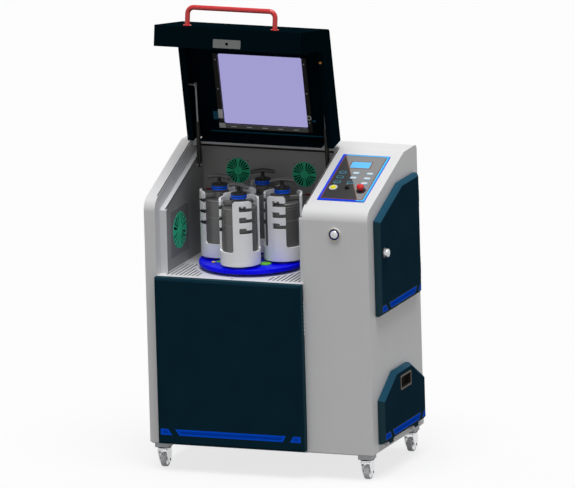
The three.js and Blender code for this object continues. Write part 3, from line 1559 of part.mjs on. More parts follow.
function addCabinet() {
  addPart(mill, 'base_frame', baseFrame(), finishes.frameGray);
  addPart(mill, 'left_shell', leftShell(), finishes.shellGray);
  addPart(mill, 'right_shell', rightShell(), finishes.shellGray);
  addPart(mill, 'rear_panel', rearPanel(), finishes.shellGray);
  addPart(mill, 'rear_rail', rearRail(), finishes.shellGray);
  addPart(mill, 'deck', deck(), finishes.deckWhite);
  addPart(mill, 'chamber_rear_wall', chamberRearWall(), finishes.chamberGray);
  addPart(mill, 'chamber_left_wall', chamberLeftWall(), finishes.chamberGray);
  addPart(mill, 'chamber_right_wall', mirrored(chamberSideWall()), finishes.chamberGray);
  addPart(mill, 'front_panel', frontPanel(), finishes.navy);
}

function addDrive() {
  addPart(mill, 'bearing_housing', bearingHousing(), finishes.castIron);
  addPart(mill, 'sun_gear', sunGear(), finishes.steel);
  addPart(mill, 'drive_motor', driveMotor(), finishes.castIron);
  addPart(mill, 'motor_pulley', motorPulley(), finishes.castIron);
  addPart(mill, 'drive_belt', driveBelt(), finishes.black);
  addPart(mill, 'inverter', inverterDrive(), finishes.castIron);
  addPart(mill, 'main_shaft', mainShaft(), finishes.steel);
  addPart(mill, 'rotor_disc', rotorDisc(), finishes.discBlue);
}

// The jars stand round the disc, the first one in front, and each planet has a gap at the sun's tooth
function addJars() {
  const handleYaws = [handleYawDegrees, -handleYawDegrees, -handleYawDegrees, 0];
  for (let index = 0; index < jarCount; index += 1) {
    const angle = 2 * Math.PI * index / jarCount - Math.PI / 2;
    const place = groupAt(mill, bayMiddle + jarPitchRadius * Math.cos(angle),
      discCentreSetback + jarPitchRadius * Math.sin(angle), 0);
    place.rotation.z = angle;
    addPart(place, `jar_holder_${index + 1}`, jarHolder(Math.PI + Math.PI / planetTeeth), finishes.silver);
    addPart(place, `jar_${index + 1}`, millingJar(), finishes.steel);
    addPart(place, `jar_cover_${index + 1}`, jarCover(), finishes.steel);
    const yaw = handleYaws[index] - THREE.MathUtils.radToDeg(angle);
    addPart(place, `clamp_screw_${index + 1}`, clampScrew(yaw), finishes.knobBlue);
  }
}

function addFans() {
  const back = rearWallSetback + seatGap + sheet + fanStandOff;
  [-rearFanSpread, rearFanSpread].forEach((side, index) => {
    const fan = groupAt(mill, bayMiddle + side, back, rearFanHeight);
    fan.rotation.x = -Math.PI / 2;
    addPart(fan, `fan_impeller_${index + 1}`, fanImpeller(rearFanDiameter), finishes.fanGreen);
  });
  const sideFan = groupAt(mill, bayLeft + seatWidth - sheet - fanStandOff, sideFanSetback, sideFanHeight);
  sideFan.rotation.y = -Math.PI / 2;
  addPart(sideFan, 'fan_impeller_3', fanImpeller(sideFanDiameter), finishes.fanGreen);
}

function addLid() {
  const turning = groupAt(mill, 0, ...hingeAxis);
  turning.rotation.x = -lidOpenAngle;
  const closed = groupAt(turning, 0, -hingeAxis[0], -hingeAxis[1]);
  addPart(closed, 'lid_shell', lidShell(), finishes.lidNavy);
  addPart(closed, 'lid_window', lidWindow(), finishes.glass);
  addPart(closed, 'lid_handle', lidHandle(), finishes.red);
  [['left', bayLeft + strutSideInset], ['right', bayRight - strutSideInset]].forEach(([side, x]) => {
    const strut = groupAt(mill, x, ...strutLower);
    strut.rotation.x = Math.atan2(-strutRise[0], strutRise[1]);
    addPart(strut, `strut_cylinder_${side}`, strutCylinder(), finishes.black);
    addPart(strut, `strut_rod_${side}`, strutRod(), finishes.chrome);
  });
}

function addControls() {
  addPart(mill, 'control_panel', controlPanel(), finishes.panelBlue);
  addPart(mill, 'start_button', startButton(), finishes.yellow);
  addPart(mill, 'selector_knob', selectorKnob(), finishes.black);
  addPart(mill, 'emergency_stop', stopButton(), finishes.red);
  addPart(mill, 'power_button', powerButton(), finishes.chrome);
}

function addDoors() {
  addPart(mill, 'service_door', serviceDoor(), finishes.navy);
  addPart(mill, 'door_knob', doorKnob(), finishes.chrome);
  addPart(mill, 'lower_hatch', lowerHatch(), finishes.navy);
}

function addCasters() {
  casterPlaces.forEach(([x, y], index) => {
    const caster = groupAt(mill, x, y, 0);
    addPart(caster, `caster_fork_${index + 1}`, casterFork(), finishes.chrome);
    addPart(caster, `caster_wheel_${index + 1}`, casterWheel(), finishes.frameGray);
  });
}

addCabinet();
addDrive();
addJars();
addFans();
addLid();
addControls();
addDoors();
addCasters();

export default mill;
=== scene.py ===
"""Looks of a planetary ball mill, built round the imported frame.

The sheet-metal nodes keep their shape and get rounded edges and painted finishes. Turned, slotted
and bent pieces are replaced by finer meshes, and thin trim is added. Lengths are millimetres in
cabinet coordinates: x from the cabinet's left side, y from its front face, z from its underside.
"""

import json
from functools import partial
from math import asin, atan2, cos, degrees, hypot, pi, radians, sin, tan

import bmesh
import bpy
from mathutils import Matrix, Vector


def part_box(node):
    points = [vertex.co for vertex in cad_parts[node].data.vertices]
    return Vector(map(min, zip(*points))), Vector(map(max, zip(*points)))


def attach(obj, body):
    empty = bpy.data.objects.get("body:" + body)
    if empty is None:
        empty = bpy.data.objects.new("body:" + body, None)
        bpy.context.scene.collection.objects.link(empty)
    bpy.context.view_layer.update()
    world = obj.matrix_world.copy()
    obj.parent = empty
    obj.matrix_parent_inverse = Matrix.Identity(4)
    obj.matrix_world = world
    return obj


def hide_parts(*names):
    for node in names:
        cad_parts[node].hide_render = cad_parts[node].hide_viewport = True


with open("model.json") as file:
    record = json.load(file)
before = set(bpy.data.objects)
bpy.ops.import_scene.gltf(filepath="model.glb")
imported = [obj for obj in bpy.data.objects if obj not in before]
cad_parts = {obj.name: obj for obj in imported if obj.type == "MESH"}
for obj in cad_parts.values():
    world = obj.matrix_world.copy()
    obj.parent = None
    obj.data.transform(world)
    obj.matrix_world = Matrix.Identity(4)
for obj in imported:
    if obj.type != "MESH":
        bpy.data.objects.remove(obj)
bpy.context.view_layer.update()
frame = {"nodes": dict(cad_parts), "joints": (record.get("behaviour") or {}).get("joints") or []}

# Places worked out from the frame
MM = 0.001
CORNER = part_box("left_shell")[0]
CABINET = Matrix.Translation(CORNER) @ Matrix.Scale(MM, 4)


def span(node):
    """A node's lowest and highest corner at rest, in cabinet millimetres."""
    return [(corner - CORNER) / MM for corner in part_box(node)]


def middle(node):
    """The centre of a node's box, in cabinet millimetres."""
    low, high = span(node)
    return (low + high) / 2


def shifted(x, y, z):
    return Matrix.Translation((x, y, z))


def rotated(angle, axis):
    """A turn by an angle in degrees."""
    return Matrix.Rotation(radians(angle), 4, axis)


BAY_LEFT = span("left_shell")[1].x
BAY_RIGHT = span("right_shell")[0].x
PANEL_FACE = span("front_panel")[0].y
FRONT_EDGE_HEIGHT = 972.5
press_axis = next(joint["axis"] for joint in frame["joints"] if joint["name"] == "start_press")
slope_normal = Vector(press_axis).normalized()
SLOPE_DEGREES = degrees(atan2(abs(slope_normal.y), abs(slope_normal.z)))
# On the sloping top of the right column: x from its left side, y up the slope, z out of it
SLOPE = CABINET @ shifted(BAY_RIGHT, 0, FRONT_EDGE_HEIGHT) @ rotated(SLOPE_DEGREES, "X")
# The lid's pieces are drawn closed and turned open about its hinge
LID_OPEN_DEGREES = 99.5
LID_HINGE = Vector((0, 428, 1141))
LID_CORNER = Vector((0, PANEL_FACE, 998.585))
LID = CABINET @ shifted(*LID_HINGE) @ rotated(-LID_OPEN_DEGREES, "X") @ shifted(*-LID_HINGE)
# On the lid's top: x from the cabinet's left side, y from its front corner, z out of it
LID_TOP = LID @ shifted(*LID_CORNER) @ rotated(SLOPE_DEGREES, "X")
# On the right side of the cabinet: x towards the rear, y up, z out
SIDEWAYS = Matrix(((0, 0, 1, 0), (1, 0, 0, 0), (0, 1, 0, 0), (0, 0, 0, 1)))
RIGHT_SIDE = CABINET @ SIDEWAYS
# On the front: x to the right, y up, z out
FRONT = CABINET @ rotated(90, "X")


# Shapes: a shape is a list of points and a list of faces
def joined(*shapes):
    points, faces = [], []
    for more, sides in shapes:
        start = len(points)
        points += more
        faces += [[corner + start for corner in side] for side in sides]
    return points, faces


def placed(shape, matrix):
    return [matrix @ Vector(point) for point in shape[0]], shape[1]


def prism(outline, low, high):
    """A flat outline raised along z."""
    count = len(outline)
    points = [Vector((x, y, level)) for level in (low, high) for x, y in outline]
    walls = [[k, (k + 1) % count, count + (k + 1) % count, count + k] for k in range(count)]
    return points, [list(range(count))[::-1], list(range(count, 2 * count)), *walls]


def rectangle(left, right, front, rear):
    return [(left, front), (right, front), (right, rear), (left, rear)]


def block(left, right, front, rear, low, high):
    return prism(rectangle(left, right, front, rear), low, high)


def circle(radius, sides, x=0.0, y=0.0):
    angles = [2 * pi * k / sides for k in range(sides)]
    return [(x + radius * cos(angle), y + radius * sin(angle)) for angle in angles]


def rounded(points, radii, steps=5):
    """The outline with its corners turned into arcs. A radius of zero keeps the corner."""
    result = []
    count = len(points)
    radii = radii if isinstance(radii, list) else [radii] * count
    for index, (point, radius) in enumerate(zip(points, radii)):
        corner = Vector(point)
        if radius <= 0:
            result.append(tuple(corner))
            continue
        before = (Vector(points[index - 1]) - corner).normalized()
        after = (Vector(points[(index + 1) % count]) - corner).normalized()
        half = before.angle(after) / 2
        start = corner + before * radius / tan(half)
        end = corner + after * radius / tan(half)
        centre = corner + (before + after).normalized() * radius / sin(half)
        turn = (start - centre).angle_signed(end - centre)
        for step in range(steps + 1):
            arm = start - centre
            arm.rotate(Matrix.Rotation(-turn * step / steps, 2))
            result.append(tuple(centre + arm))
    return result


def drum(radius, low, high, bore=0):
    """The profile of a plain drum, or of a ring where it has a bore."""
    return [(bore, low), (radius, low), (radius, high), (bore, high)]


def raised(profile, height):
    return [(radius, level + height) for radius, level in profile]


def lathe(profile, sides):
    """A profile of (radius, height) turned about z. It starts and ends on the axis, or closes on itself."""
    points, rings, faces = [], [], []
    for radius, height in profile:
        if radius <= 0:
            rings.append([len(points)] * sides)
            points.append(Vector((0, 0, height)))
            continue
        rings.append([len(points) + k for k in range(sides)])
        points += [Vector((x, y, height)) for x, y in circle(radius, sides)]
    closed = profile[0][0] > 0
    for index in range(len(rings) if closed else len(rings) - 1):
        low, high = rings[index], rings[(index + 1) % len(rings)]
        for k in range(sides):
            after = (k + 1) % sides
            face = list(dict.fromkeys([low[k], low[after], high[after], high[k]]))
            if len(face) > 2:
                faces.append(face)
    return points, faces


def tube(line, radius, sides):
    """A round tube along a line of points, closed at both ends."""
    line = [Vector(point) for point in line]
    points, faces = [], []
    along = (line[1] - line[0]).normalized()
    across = along.orthogonal().normalized()
    for index, centre in enumerate(line):
        ahead = line[min(index + 1, len(line) - 1)] - line[max(index - 1, 0)]
        across.rotate(along.rotation_difference(ahead.normalized()))
        along = ahead.normalized()
        side = along.cross(across)
        points += [centre + across * x + side * y for x, y in circle(radius, sides)]
    for index in range(len(line) - 1):
        low, high = index * sides, (index + 1) * sides
        faces += [[low + k, low + (k + 1) % sides, high + (k + 1) % sides, high + k] for k in range(sides)]
    last = (len(line) - 1) * sides
    return points, faces + [list(range(sides))[::-1], [last + k for k in range(sides)]]


# Objects
SMOOTH_ANGLE = radians(40)
BEVEL_ANGLE = radians(30)


def linked(name, data):
    item = bpy.data.objects.new(name, data)
    bpy.context.scene.collection.objects.link(item)
    return item


def remade(mesh, change):
    """Changes a mesh and turns its faces outwards."""
    work = bmesh.new()
    work.from_mesh(mesh)
    change(work)
    bmesh.ops.recalc_face_normals(work, faces=work.faces)
    work.to_mesh(mesh)
    work.free()
    mesh.shade_smooth()


def object_from(name, shape, place):
    """An object whose mesh holds the shape at its place, in metres."""
    mesh = bpy.data.meshes.new(name)
    mesh.from_pydata([tuple(point) for point in shape[0]], [], shape[1])
    remade(mesh, lambda work: bmesh.ops.transform(work, matrix=place, verts=work.verts))
    return linked(name, mesh)


def soften(item, width, segments=2):
    """Rounds an object's edges by a width in millimetres and evens out its shading."""
    if width > 0:
        bevel = item.modifiers.new("edges", "BEVEL")
        bevel.width = width * MM
        bevel.segments = segments
        bevel.limit_method = "ANGLE"
        bevel.angle_limit = BEVEL_ANGLE
    item.modifiers.new("shading", "WEIGHTED_NORMAL").keep_sharp = True


def coated(item, finish):
    item.data.materials.clear()
    item.data.materials.append(finishes[finish])
    return item


def finished(item, finish, body, replaces=()):
    """Gives an object its material and the body that it rides on."""
    coated(item, finish)
    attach(item, body)
    if replaces:
        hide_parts(*replaces)
    return item


def piece(name, shape, finish, edge=0.6, segments=2, replaces=(), body="cabinet", place=CABINET):
    """A new piece of the object, from a shape in millimetres."""
    item = object_from(name, shape, place)
    item.data.set_sharp_from_angle(angle=SMOOTH_ANGLE)
    soften(item, edge, segments)
    return finished(item, finish, body, replaces)


def turned(rows, mark="", **common):
    """Turned pieces. A row is a name, profile, sides, finish and rounding, and the node replaced."""
    for name, profile, sides, finish, edge, *nodes in rows:
        replaced = [node.format(mark) for node in nodes]
        piece(name.format(mark), lathe(profile, sides), finish, edge, replaces=replaced, **common)


def cut_by(item, shape, place):
    """Cuts a shape out of an object by a modifier whose tool isn't shown."""
    tool = object_from(item.name + "_cut", shape, place)
    tool.hide_render = True
    tool.hide_viewport = True
    cut = item.modifiers.new("cut", "BOOLEAN")
    cut.operation = "DIFFERENCE"
    cut.solver = "EXACT"
    cut.object = tool
    return tool


def cut_piece(name, shape, hole, finish, body, place, edge=0.0):
    """A new piece with a second shape cut out of its mesh."""
    item = object_from(name, shape, place)
    tool = cut_by(item, hole, place)
    bpy.context.view_layer.update()
    evaluated = item.evaluated_get(bpy.context.evaluated_depsgraph_get())
    mesh = bpy.data.meshes.new_from_object(evaluated)
    item.modifiers.clear()
    item.data = mesh
    bpy.data.objects.remove(tool)
    if edge == 0:
        mesh.set_sharp_from_angle(angle=SMOOTH_ANGLE)
    soften(item, edge)
    return finished(item, finish, body)


def dress(node, finish, edge=0.8, segments=2, cuts=()):
    """Rounds a CAD node's edges and gives it its material. A node that is cut stays flat and sharp."""
    item = frame["nodes"][node]
    item.modifiers.new("weld", "WELD").merge_threshold = MM / 100
    for shape, place in cuts:
        cut_by(item, shape, place)
    if edge > 0:
        item.data.shade_smooth()
        flat = item.modifiers.new("flat", "DECIMATE")
        flat.decimate_type = "DISSOLVE"
        flat.angle_limit = radians(1)
        soften(item, edge, segments)
    else:
        item.data.shade_flat()
    return coated(item, finish)


def repaint(item, finish, chosen):
    """Gives a second material to the faces that the test picks by their middle and normal."""
    item.data.materials.append(finishes[finish])
    last = len(item.data.materials) - 1
    for face in item.data.polygons:
        if chosen((face.center - CORNER) / MM, face.normal):
            face.material_index = last


# Materials
# Width of the edge band painted in the wear and highlight colour
EDGE_WEAR_AND_HIGHLIGHT_WIDTH = 1.5
BUMP_STRENGTH = 0.5
PANE_IOR = 1.05
MOTTLE_SIZE = 90.0
BRUSHED = (0.6, 0.6, 12)


def linear(colour):
    """A colour from 0 to 255 a channel as the shader's values. One of four channels is linear already."""
    if len(colour) == 4:
        return colour
    channels = [value / 255 for value in colour]
    return (*[c / 12.92 if c <= 0.04045 else ((c + 0.055) / 1.055) ** 2.4 for c in channels], 1.0)


def scaled(colour, factor):
    return (*[min(channel * factor, 1.0) for channel in colour[:3]], 1.0)


def add_node(tree, kind, values=None, **settings):
    """A node with its settings, and with a value or a link for each named socket."""
    node = tree.nodes.new(kind)
    for key, value in settings.items():
        setattr(node, key, value)
    for socket, value in (values or {}).items():
        if isinstance(value, bpy.types.NodeSocket):
            tree.links.new(value, node.inputs[socket])
        else:
            node.inputs[socket].default_value = value
    return node


def mixed(tree, factor, first, second):
    """The colour between first and second."""
    return add_node(tree, "ShaderNodeMix", {0: factor, 6: first, 7: second}, data_type="RGBA").outputs[2]


def ranged(tree, value, low, high, to_low, to_high):
    values = {"Value": value, "From Min": low, "From Max": high, "To Min": to_low, "To Max": to_high}
    return add_node(tree, "ShaderNodeMapRange", values).outputs["Result"]


def noise(tree, vector, size, detail):
    """Noise whose features are about size millimetres across."""
    values = {"Vector": vector, "Scale": 1 / (size * MM), "Detail": detail}
    return add_node(tree, "ShaderNodeTexNoise", values).outputs[0]


def edge_mask(tree):
    """One on a surface's edges and zero away from them."""
    flat = add_node(tree, "ShaderNodeNewGeometry").outputs["True Normal"]
    bent = add_node(tree, "ShaderNodeBevel", {"Radius": EDGE_WEAR_AND_HIGHLIGHT_WIDTH * MM}, samples=4).outputs[0]
    facing = add_node(tree, "ShaderNodeVectorMath", {0: flat, 1: bent}, operation="DOT_PRODUCT")
    return ranged(tree, facing.outputs["Value"], 0.9, 0.99, 1.0, 0.0)


def surface(name, slot, colour, roughness, metallic, specular, mottle, mottle_size=MOTTLE_SIZE,
            grain_size=1.2, grain_height=0.03, uneven=0.06, worn=None, stretch=(1, 1, 1)):
    """A painted, moulded or metal surface: a mottled colour, fine grain, uneven gloss and edges
    in a second colour, which is partly wear and, where it is lighter, painted highlight."""
    material = bpy.data.materials.new(name)
    material["slot"] = slot
    material.use_nodes = True
    tree = material.node_tree
    shader = tree.nodes["Principled BSDF"]
    spot = add_node(tree, "ShaderNodeTexCoord").outputs["Object"]
    spot = add_node(tree, "ShaderNodeMapping", {"Vector": spot, "Scale": stretch}).outputs["Vector"]
    broad = noise(tree, spot, mottle_size, 3.0)
    fine = noise(tree, spot, grain_size, 4.0)
    colour = linear(colour)
    tone = mixed(tree, broad, scaled(colour, 1 - mottle), scaled(colour, 1 + mottle))
    # The edges take the second colour: partly wear, and painted highlight where it is lighter
    if worn:
        tone = mixed(tree, edge_mask(tree), tone, linear(worn))
    tree.links.new(tone, shader.inputs["Base Color"])
    gloss = ranged(tree, fine, 0.3, 0.7, max(roughness - uneven, 0.02), roughness + uneven)
    tree.links.new(gloss, shader.inputs["Roughness"])
    shader.inputs["Metallic"].default_value = metallic
    shader.inputs["Specular IOR Level"].default_value = specular
    bump = {"Height": fine, "Strength": BUMP_STRENGTH, "Distance": grain_height * MM}
    tree.links.new(add_node(tree, "ShaderNodeBump", bump).outputs["Normal"], shader.inputs["Normal"])
    return material


# Each slot's finishes: colour, roughness, metallic, specular, mottle, and what else differs
# Where a row's edge colour is lighter than its colour, it is painted highlight along the edges, partly wear
FINISH_ROWS = {
    "shell_paint": {"paint_white": ((0.70, 0.70, 0.705, 1), 0.42, 0, 0.3, 0.015,
                                    dict(grain_size=1.6, grain_height=0.05, worn=(0.86, 0.86, 0.87, 1)))},
    "deck_paint": {"deck_white": ((0.78, 0.78, 0.79, 1), 0.4, 0, 0.3, 0.02)},
    "chamber_paint": {
        # The chamber walls' gray is the pale seat paint darkened, painted shade inside the chamber
        "chamber_shaded_gray": ((158, 158, 156), 0.42, 0.05, 0.15, 0.08, dict(worn=(150, 150, 150))),
        "seat_white": ((222, 223, 225), 0.4, 0, 0.3, 0.02),
        "fan_plate_gray": ((128, 128, 128), 0.45, 0, 0.15, 0.08),
        "seam_gray": ((64, 64, 64), 0.5, 0, 0.1, 0.08)},
    "panel_navy": {
        "panel_navy": ((16, 43, 56), 0.5, 0, 0, 0.12, dict(grain_height=0.05, worn=(30, 62, 76))),
        # The door's navy is the panel navy made lighter, painted light on the cabinet's right side
        "door_lit_navy": ((24, 51, 66), 0.5, 0, 0, 0.12, dict(grain_height=0.05, worn=(36, 68, 84))),
        # Teal for the upward chamfers of the door and hatch, painted highlight on the navy paint
        "panel_lit_top": ((34, 78, 100), 0.45, 0, 0.02, 0.08),
        # The navy panels' sides, tops and chamfers, painted lighter as painted light on the same paint
        "panel_lit_side": ((40, 66, 76), 0.45, 0, 0, 0.08),
        "pocket_gray": ((58, 55, 53), 0.6, 0, 0, 0.12),
        "ring_navy": ((8, 14, 120), 0.4, 0, 0, 0.05),
        "stripe_edge": ((16, 34, 10), 0.45, 0, 0.05, 0.1)},
    "lid_navy": {
        # The lid's navy is darker than the panels', painted shade on the open lid
        "lid_navy": ((3, 18, 24), 0.5, 0, 0, 0.15, dict(grain_height=0.05, worn=(16, 40, 50))),
        # Teal of the lit flange inside the lid, painted highlight on the navy
        "teal_line": ((20, 84, 108), 0.4, 0, 0.1, 0.05)},
    "lid_glass": {
        "window_glass": ((0.376, 0.352, 0.659, 1), 0.02, 0, 0.5, 0.01,
                         dict(grain_size=40, grain_height=0.01, uneven=0.01)),
        "seal_pale": ((236, 236, 238), 0.6, 0, 0.5, 0.03)},
    "knob_black": {
        # Black for the window frame and the seals, and painted shadow under the rear rail
        "seal_black": ((34, 32, 29), 0.6, 0, 0.1, 0.2),
        "knob_black": ((26, 26, 27), 0.42, 0, 0.2, 0.15, dict(worn=(84, 84, 86))),
        "grip_gray": ((74, 74, 73), 0.36, 0, 0.3, 0.12, dict(worn=(130, 130, 130))),
        # Black for the fans' housings, and painted shade in the holder slots and under the deck's vents
        "black_and_painted_shade": ((10, 12, 14), 0.7, 0, 0.05, 0.2)},
    "frame_paint": {
        "bar_gray": ((110, 110, 108), 0.5, 0, 0.1, 0.1),
        "frame_gray": ((190, 192, 194), 0.5, 0.1, 0.5, 0.06),
        "bezel_brown": ((104, 98, 92), 0.5, 0, 0.1, 0.08)},
    "handle_red": {"handle_red": ((206, 14, 20), 0.2, 0, 0.6, 0.05)},
    "disc_blue": {
        "disc_blue": ((0, 0, 246), 0.35, 0, 0.12, 0.04, dict(stretch=BRUSHED, worn=(40, 60, 250))),
        "boss_lime": ((120, 212, 48), 0.35, 0, 0.5, 0.05)},
    "button_yellow": {
        "boss_yellow": ((250, 222, 20), 0.35, 0, 0.5, 0.05),
        "button_yellow": ((238, 226, 20), 0.32, 0, 0.3, 0.04),
        "amber": ((216, 132, 22), 0.4, 0, 0.5, 0.06)},
    "holder_steel": {
        "holder_steel": ((246, 247, 249), 0.34, 0, 0.3, 0.04,
                         dict(mottle_size=40, grain_size=1.0, stretch=BRUSHED)),
        # The holders' outer rims, near-white as a painted highlight
        "holder_rim_highlight": ((244, 245, 248), 0.25, 0.3, 0.5, 0.03)},
    "jar_steel": {"jar_steel": ((110, 110, 109), 0.36, 0.3, 0.2, 0.08,
                                dict(mottle_size=30, stretch=BRUSHED, worn=(170, 170, 170)))},
    "knob_blue": {
        "knob_blue": ((10, 98, 244), 0.35, 0, 0.2, 0.05),
        "knob_tan": ((150, 126, 92), 0.4, 0, 0.5, 0.05)},
    "fan_green": {
        "fan_green": ((60, 206, 154), 0.45, 0, 0.1, 0.08, dict(worn=(96, 226, 184))),
        "blade_dark": ((10, 34, 34), 0.5, 0, 0.1, 0.1)},
    "chrome": {
        "chrome": ((214, 215, 217), 0.2, 0.55, 0.5, 0.02, dict(grain_height=0.005)),
        "rod_chrome": ((134, 135, 136), 0.25, 0.4, 0.5, 0.03, dict(grain_height=0.005)),
        "ring_cream": ((214, 204, 172), 0.35, 0, 0.5, 0.03)},
    "strut_black": {"strut_black": ((40, 40, 36), 0.32, 0, 0.2, 0.1)},
    "machine_iron": {
        "cast_iron": ((62, 64, 67), 0.6, 0.5, 0.5, 0.15,
                      dict(grain_size=2.5, grain_height=0.2, worn=(110, 110, 112))),
        "strike_gray": ((104, 106, 106), 0.4, 0.3, 0.5, 0.1)},
    "gear_steel": {"gear_steel": ((150, 150, 152), 0.35, 0.9, 0.5, 0.08)},
    "belt_rubber": {"belt_rubber": ((26, 26, 26), 0.75, 0, 0.5, 0.2, dict(grain_height=0.1))},
    "inverter_case": {"inverter_case": ((70, 74, 78), 0.5, 0, 0.5, 0.08)},
    "panel_plate": {
        "plate_dark": ((60, 60, 61), 0.4, 0, 0.1, 0.03),
        "plate_gray": ((136, 136, 137), 0.4, 0, 0.1, 0.03),
        "plate_blue": ((4, 66, 232), 0.35, 0, 0.1, 0.04),
        "plate_cyan": ((70, 186, 240), 0.35, 0, 0.1, 0.04),
        "plate_brown": ((136, 78, 34), 0.4, 0, 0.1, 0.05),
        "screen_blue": ((100, 192, 248), 0.25, 0, 0.2, 0.03),
        "key_white": ((214, 214, 216), 0.4, 0, 0.2, 0.03),
        "key_edge": ((84, 172, 204), 0.4, 0, 0.1, 0.03),
        "stripe_blue": ((4, 84, 226), 0.5, 0, 0, 0.05),
        "stripe_deep": ((2, 66, 184), 0.5, 0, 0, 0.05)},
    "stop_red": {
        "stop_red": ((206, 26, 26), 0.28, 0, 0.4, 0.05),
        "mark_red": ((176, 36, 28), 0.4, 0, 0.1, 0.05)},
    "caster_metal": {
        "bracket_gray": ((170, 171, 170), 0.4, 0.3, 0.5, 0.06),
        "caster_white": ((238, 239, 240), 0.22, 0.8, 0.5, 0.03)},
    "caster_tread": {"tread_gray": ((214, 216, 218), 0.55, 0, 0.5, 0.06, dict(grain_height=0.08))},
}
finishes = {}
for slot, rows in FINISH_ROWS.items():
    for name, row in rows.items():
        details = row[5] if len(row) > 5 else {}
        finishes[name] = surface(name, slot, *row[:5], **details)
pane_shader = finishes["window_glass"].node_tree.nodes["Principled BSDF"]
pane_shader.inputs["Transmission Weight"].default_value = 1.0
pane_shader.inputs["IOR"].default_value = PANE_IOR


# Camera: the photograph's view, from far off
CAMERA_TARGET = Vector((-0.0283, 0.0893, 0.8557))
CAMERA_DISTANCE = 88.0
CAMERA_RIGHT = Vector((0.93390, 0.35651, -0.02694))
CAMERA_UP = Vector((-0.05519, 0.21820, 0.97434))
CAMERA_BACK = Vector((0.35325, -0.90845, 0.22345))
CAMERA_LENS = 1397.2
SENSOR_WIDTH = 36.0


def make_camera():
    data = bpy.data.cameras.new("camera")
    data.lens = CAMERA_LENS
    data.sensor_width = SENSOR_WIDTH
    data.clip_end = 4 * CAMERA_DISTANCE
    camera = linked("camera", data)
    place = Matrix((CAMERA_RIGHT, CAMERA_UP, CAMERA_BACK)).transposed().to_4x4()
    place.translation = CAMERA_TARGET + CAMERA_DISTANCE * CAMERA_BACK
    camera.matrix_world = place
    bpy.context.scene.camera = camera


# Light: a pale world, one broad lamp high above and a weak one from the front
WHITE = (1, 1, 1, 1)
AMBIENT = 0.27
TOP_LAMP = 2.75
TOP_LAMP_SPREAD = 40
TOP_LAMP_DIRECTION = (-0.1, 0.2, -1)
FRONT_LAMP = 0.1
FRONT_LAMP_SPREAD = 60
FRONT_LAMP_DIRECTION = (-0.5, 0.9, -0.45)
FLOOR_SIZE = 90.0
FLOOR_COLOUR = (0.28, 0.28, 0.28, 1)
FLOOR_SHOWN_COLOUR = (0.8, 0.8, 0.8, 1)
FLOOR_GLOW_SHARE = 0.75


def seen_ray(tree):
    """One on camera, glossy and transmission rays, and zero on the rest."""
    path = add_node(tree, "ShaderNodeLightPath").outputs
    total = path["Is Camera Ray"]
    for kind in ("Is Glossy Ray", "Is Transmission Ray"):
        total = add_node(tree, "ShaderNodeMath", {0: total, 1: path[kind]}, operation="MAXIMUM").outputs[0]
    return total


def make_world():
    world = bpy.data.worlds.new("studio")
    world.use_nodes = True
    tree = world.node_tree
    background = tree.nodes["Background"]
    background.inputs["Color"].default_value = WHITE
    strength = ranged(tree, seen_ray(tree), 0.0, 1.0, AMBIENT, 1.0)
    tree.links.new(strength, background.inputs["Strength"])
    bpy.context.scene.world = world


def make_lamp(name, strength, spread, direction):
    data = bpy.data.lights.new(name, "SUN")
    data.energy = strength
    data.angle = radians(spread)
    linked(name, data).rotation_euler = Vector(direction).to_track_quat("-Z", "Y").to_euler()


def make_floor():
    material = bpy.data.materials.new("floor_pale")
    material.use_nodes = True
    tree = material.node_tree
    tree.nodes.remove(tree.nodes["Principled BSDF"])
    matt = add_node(tree, "ShaderNodeBsdfDiffuse", {"Color": FLOOR_COLOUR}).outputs[0]
    pale = add_node(tree, "ShaderNodeBsdfDiffuse", {"Color": FLOOR_SHOWN_COLOUR}).outputs[0]
    glow = add_node(tree, "ShaderNodeEmission", {"Color": WHITE}).outputs[0]
    shown = add_node(tree, "ShaderNodeMixShader", {0: FLOOR_GLOW_SHARE, 1: pale, 2: glow}).outputs[0]
    both = add_node(tree, "ShaderNodeMixShader", {0: seen_ray(tree), 1: matt, 2: shown}).outputs[0]
    tree.links.new(both, tree.nodes["Material Output"].inputs["Surface"])
    half = FLOOR_SIZE / 2
    corners = [(x, y, 0) for x, y in rectangle(-half, half, -half, half)]
    floor = object_from("floor", (corners, [[0, 1, 2, 3]]), Matrix.Identity(4))
    floor.data.materials.append(material)


def make_studio():
    bpy.context.scene.view_settings.view_transform = "Standard"
    make_world()
    make_lamp("top_lamp", TOP_LAMP, TOP_LAMP_SPREAD, TOP_LAMP_DIRECTION)
    make_lamp("front_lamp", FRONT_LAMP, FRONT_LAMP_SPREAD, FRONT_LAMP_DIRECTION)
    make_floor()


# Cabinet: the nodes that only get a finish, with their rounding and its segments
PLAIN_NODES = (
    ("left_shell", "paint_white", 1.5, 3), ("right_shell", "paint_white", 1.5, 3),
    ("rear_panel", "paint_white"), ("rear_rail", "paint_white"), ("deck", "deck_white", 0.7),
    ("base_frame", "frame_gray"), ("control_panel", "plate_blue", 0.5),
    ("bearing_housing", "cast_iron", 1.2), ("drive_motor", "cast_iron", 1.2),
    ("sun_gear", "gear_steel", 0.4), ("main_shaft", "gear_steel", 0.4), ("motor_pulley", "gear_steel", 0.4),
    ("drive_belt", "belt_rubber"), ("inverter", "inverter_case"))
SEAT_FRONT = 60
FAN_PLATE = 188
STUD_REACH = 14
# How far into the bay the pins start, on the walls and on the lid
WALL_PIN_INSET = 24.6
LID_PIN_INSET = 8
SQUARE = 0.99
# The hatch's pull: its sides along y, its foot and its top
PULL = (256, 362, 213, 259.5)
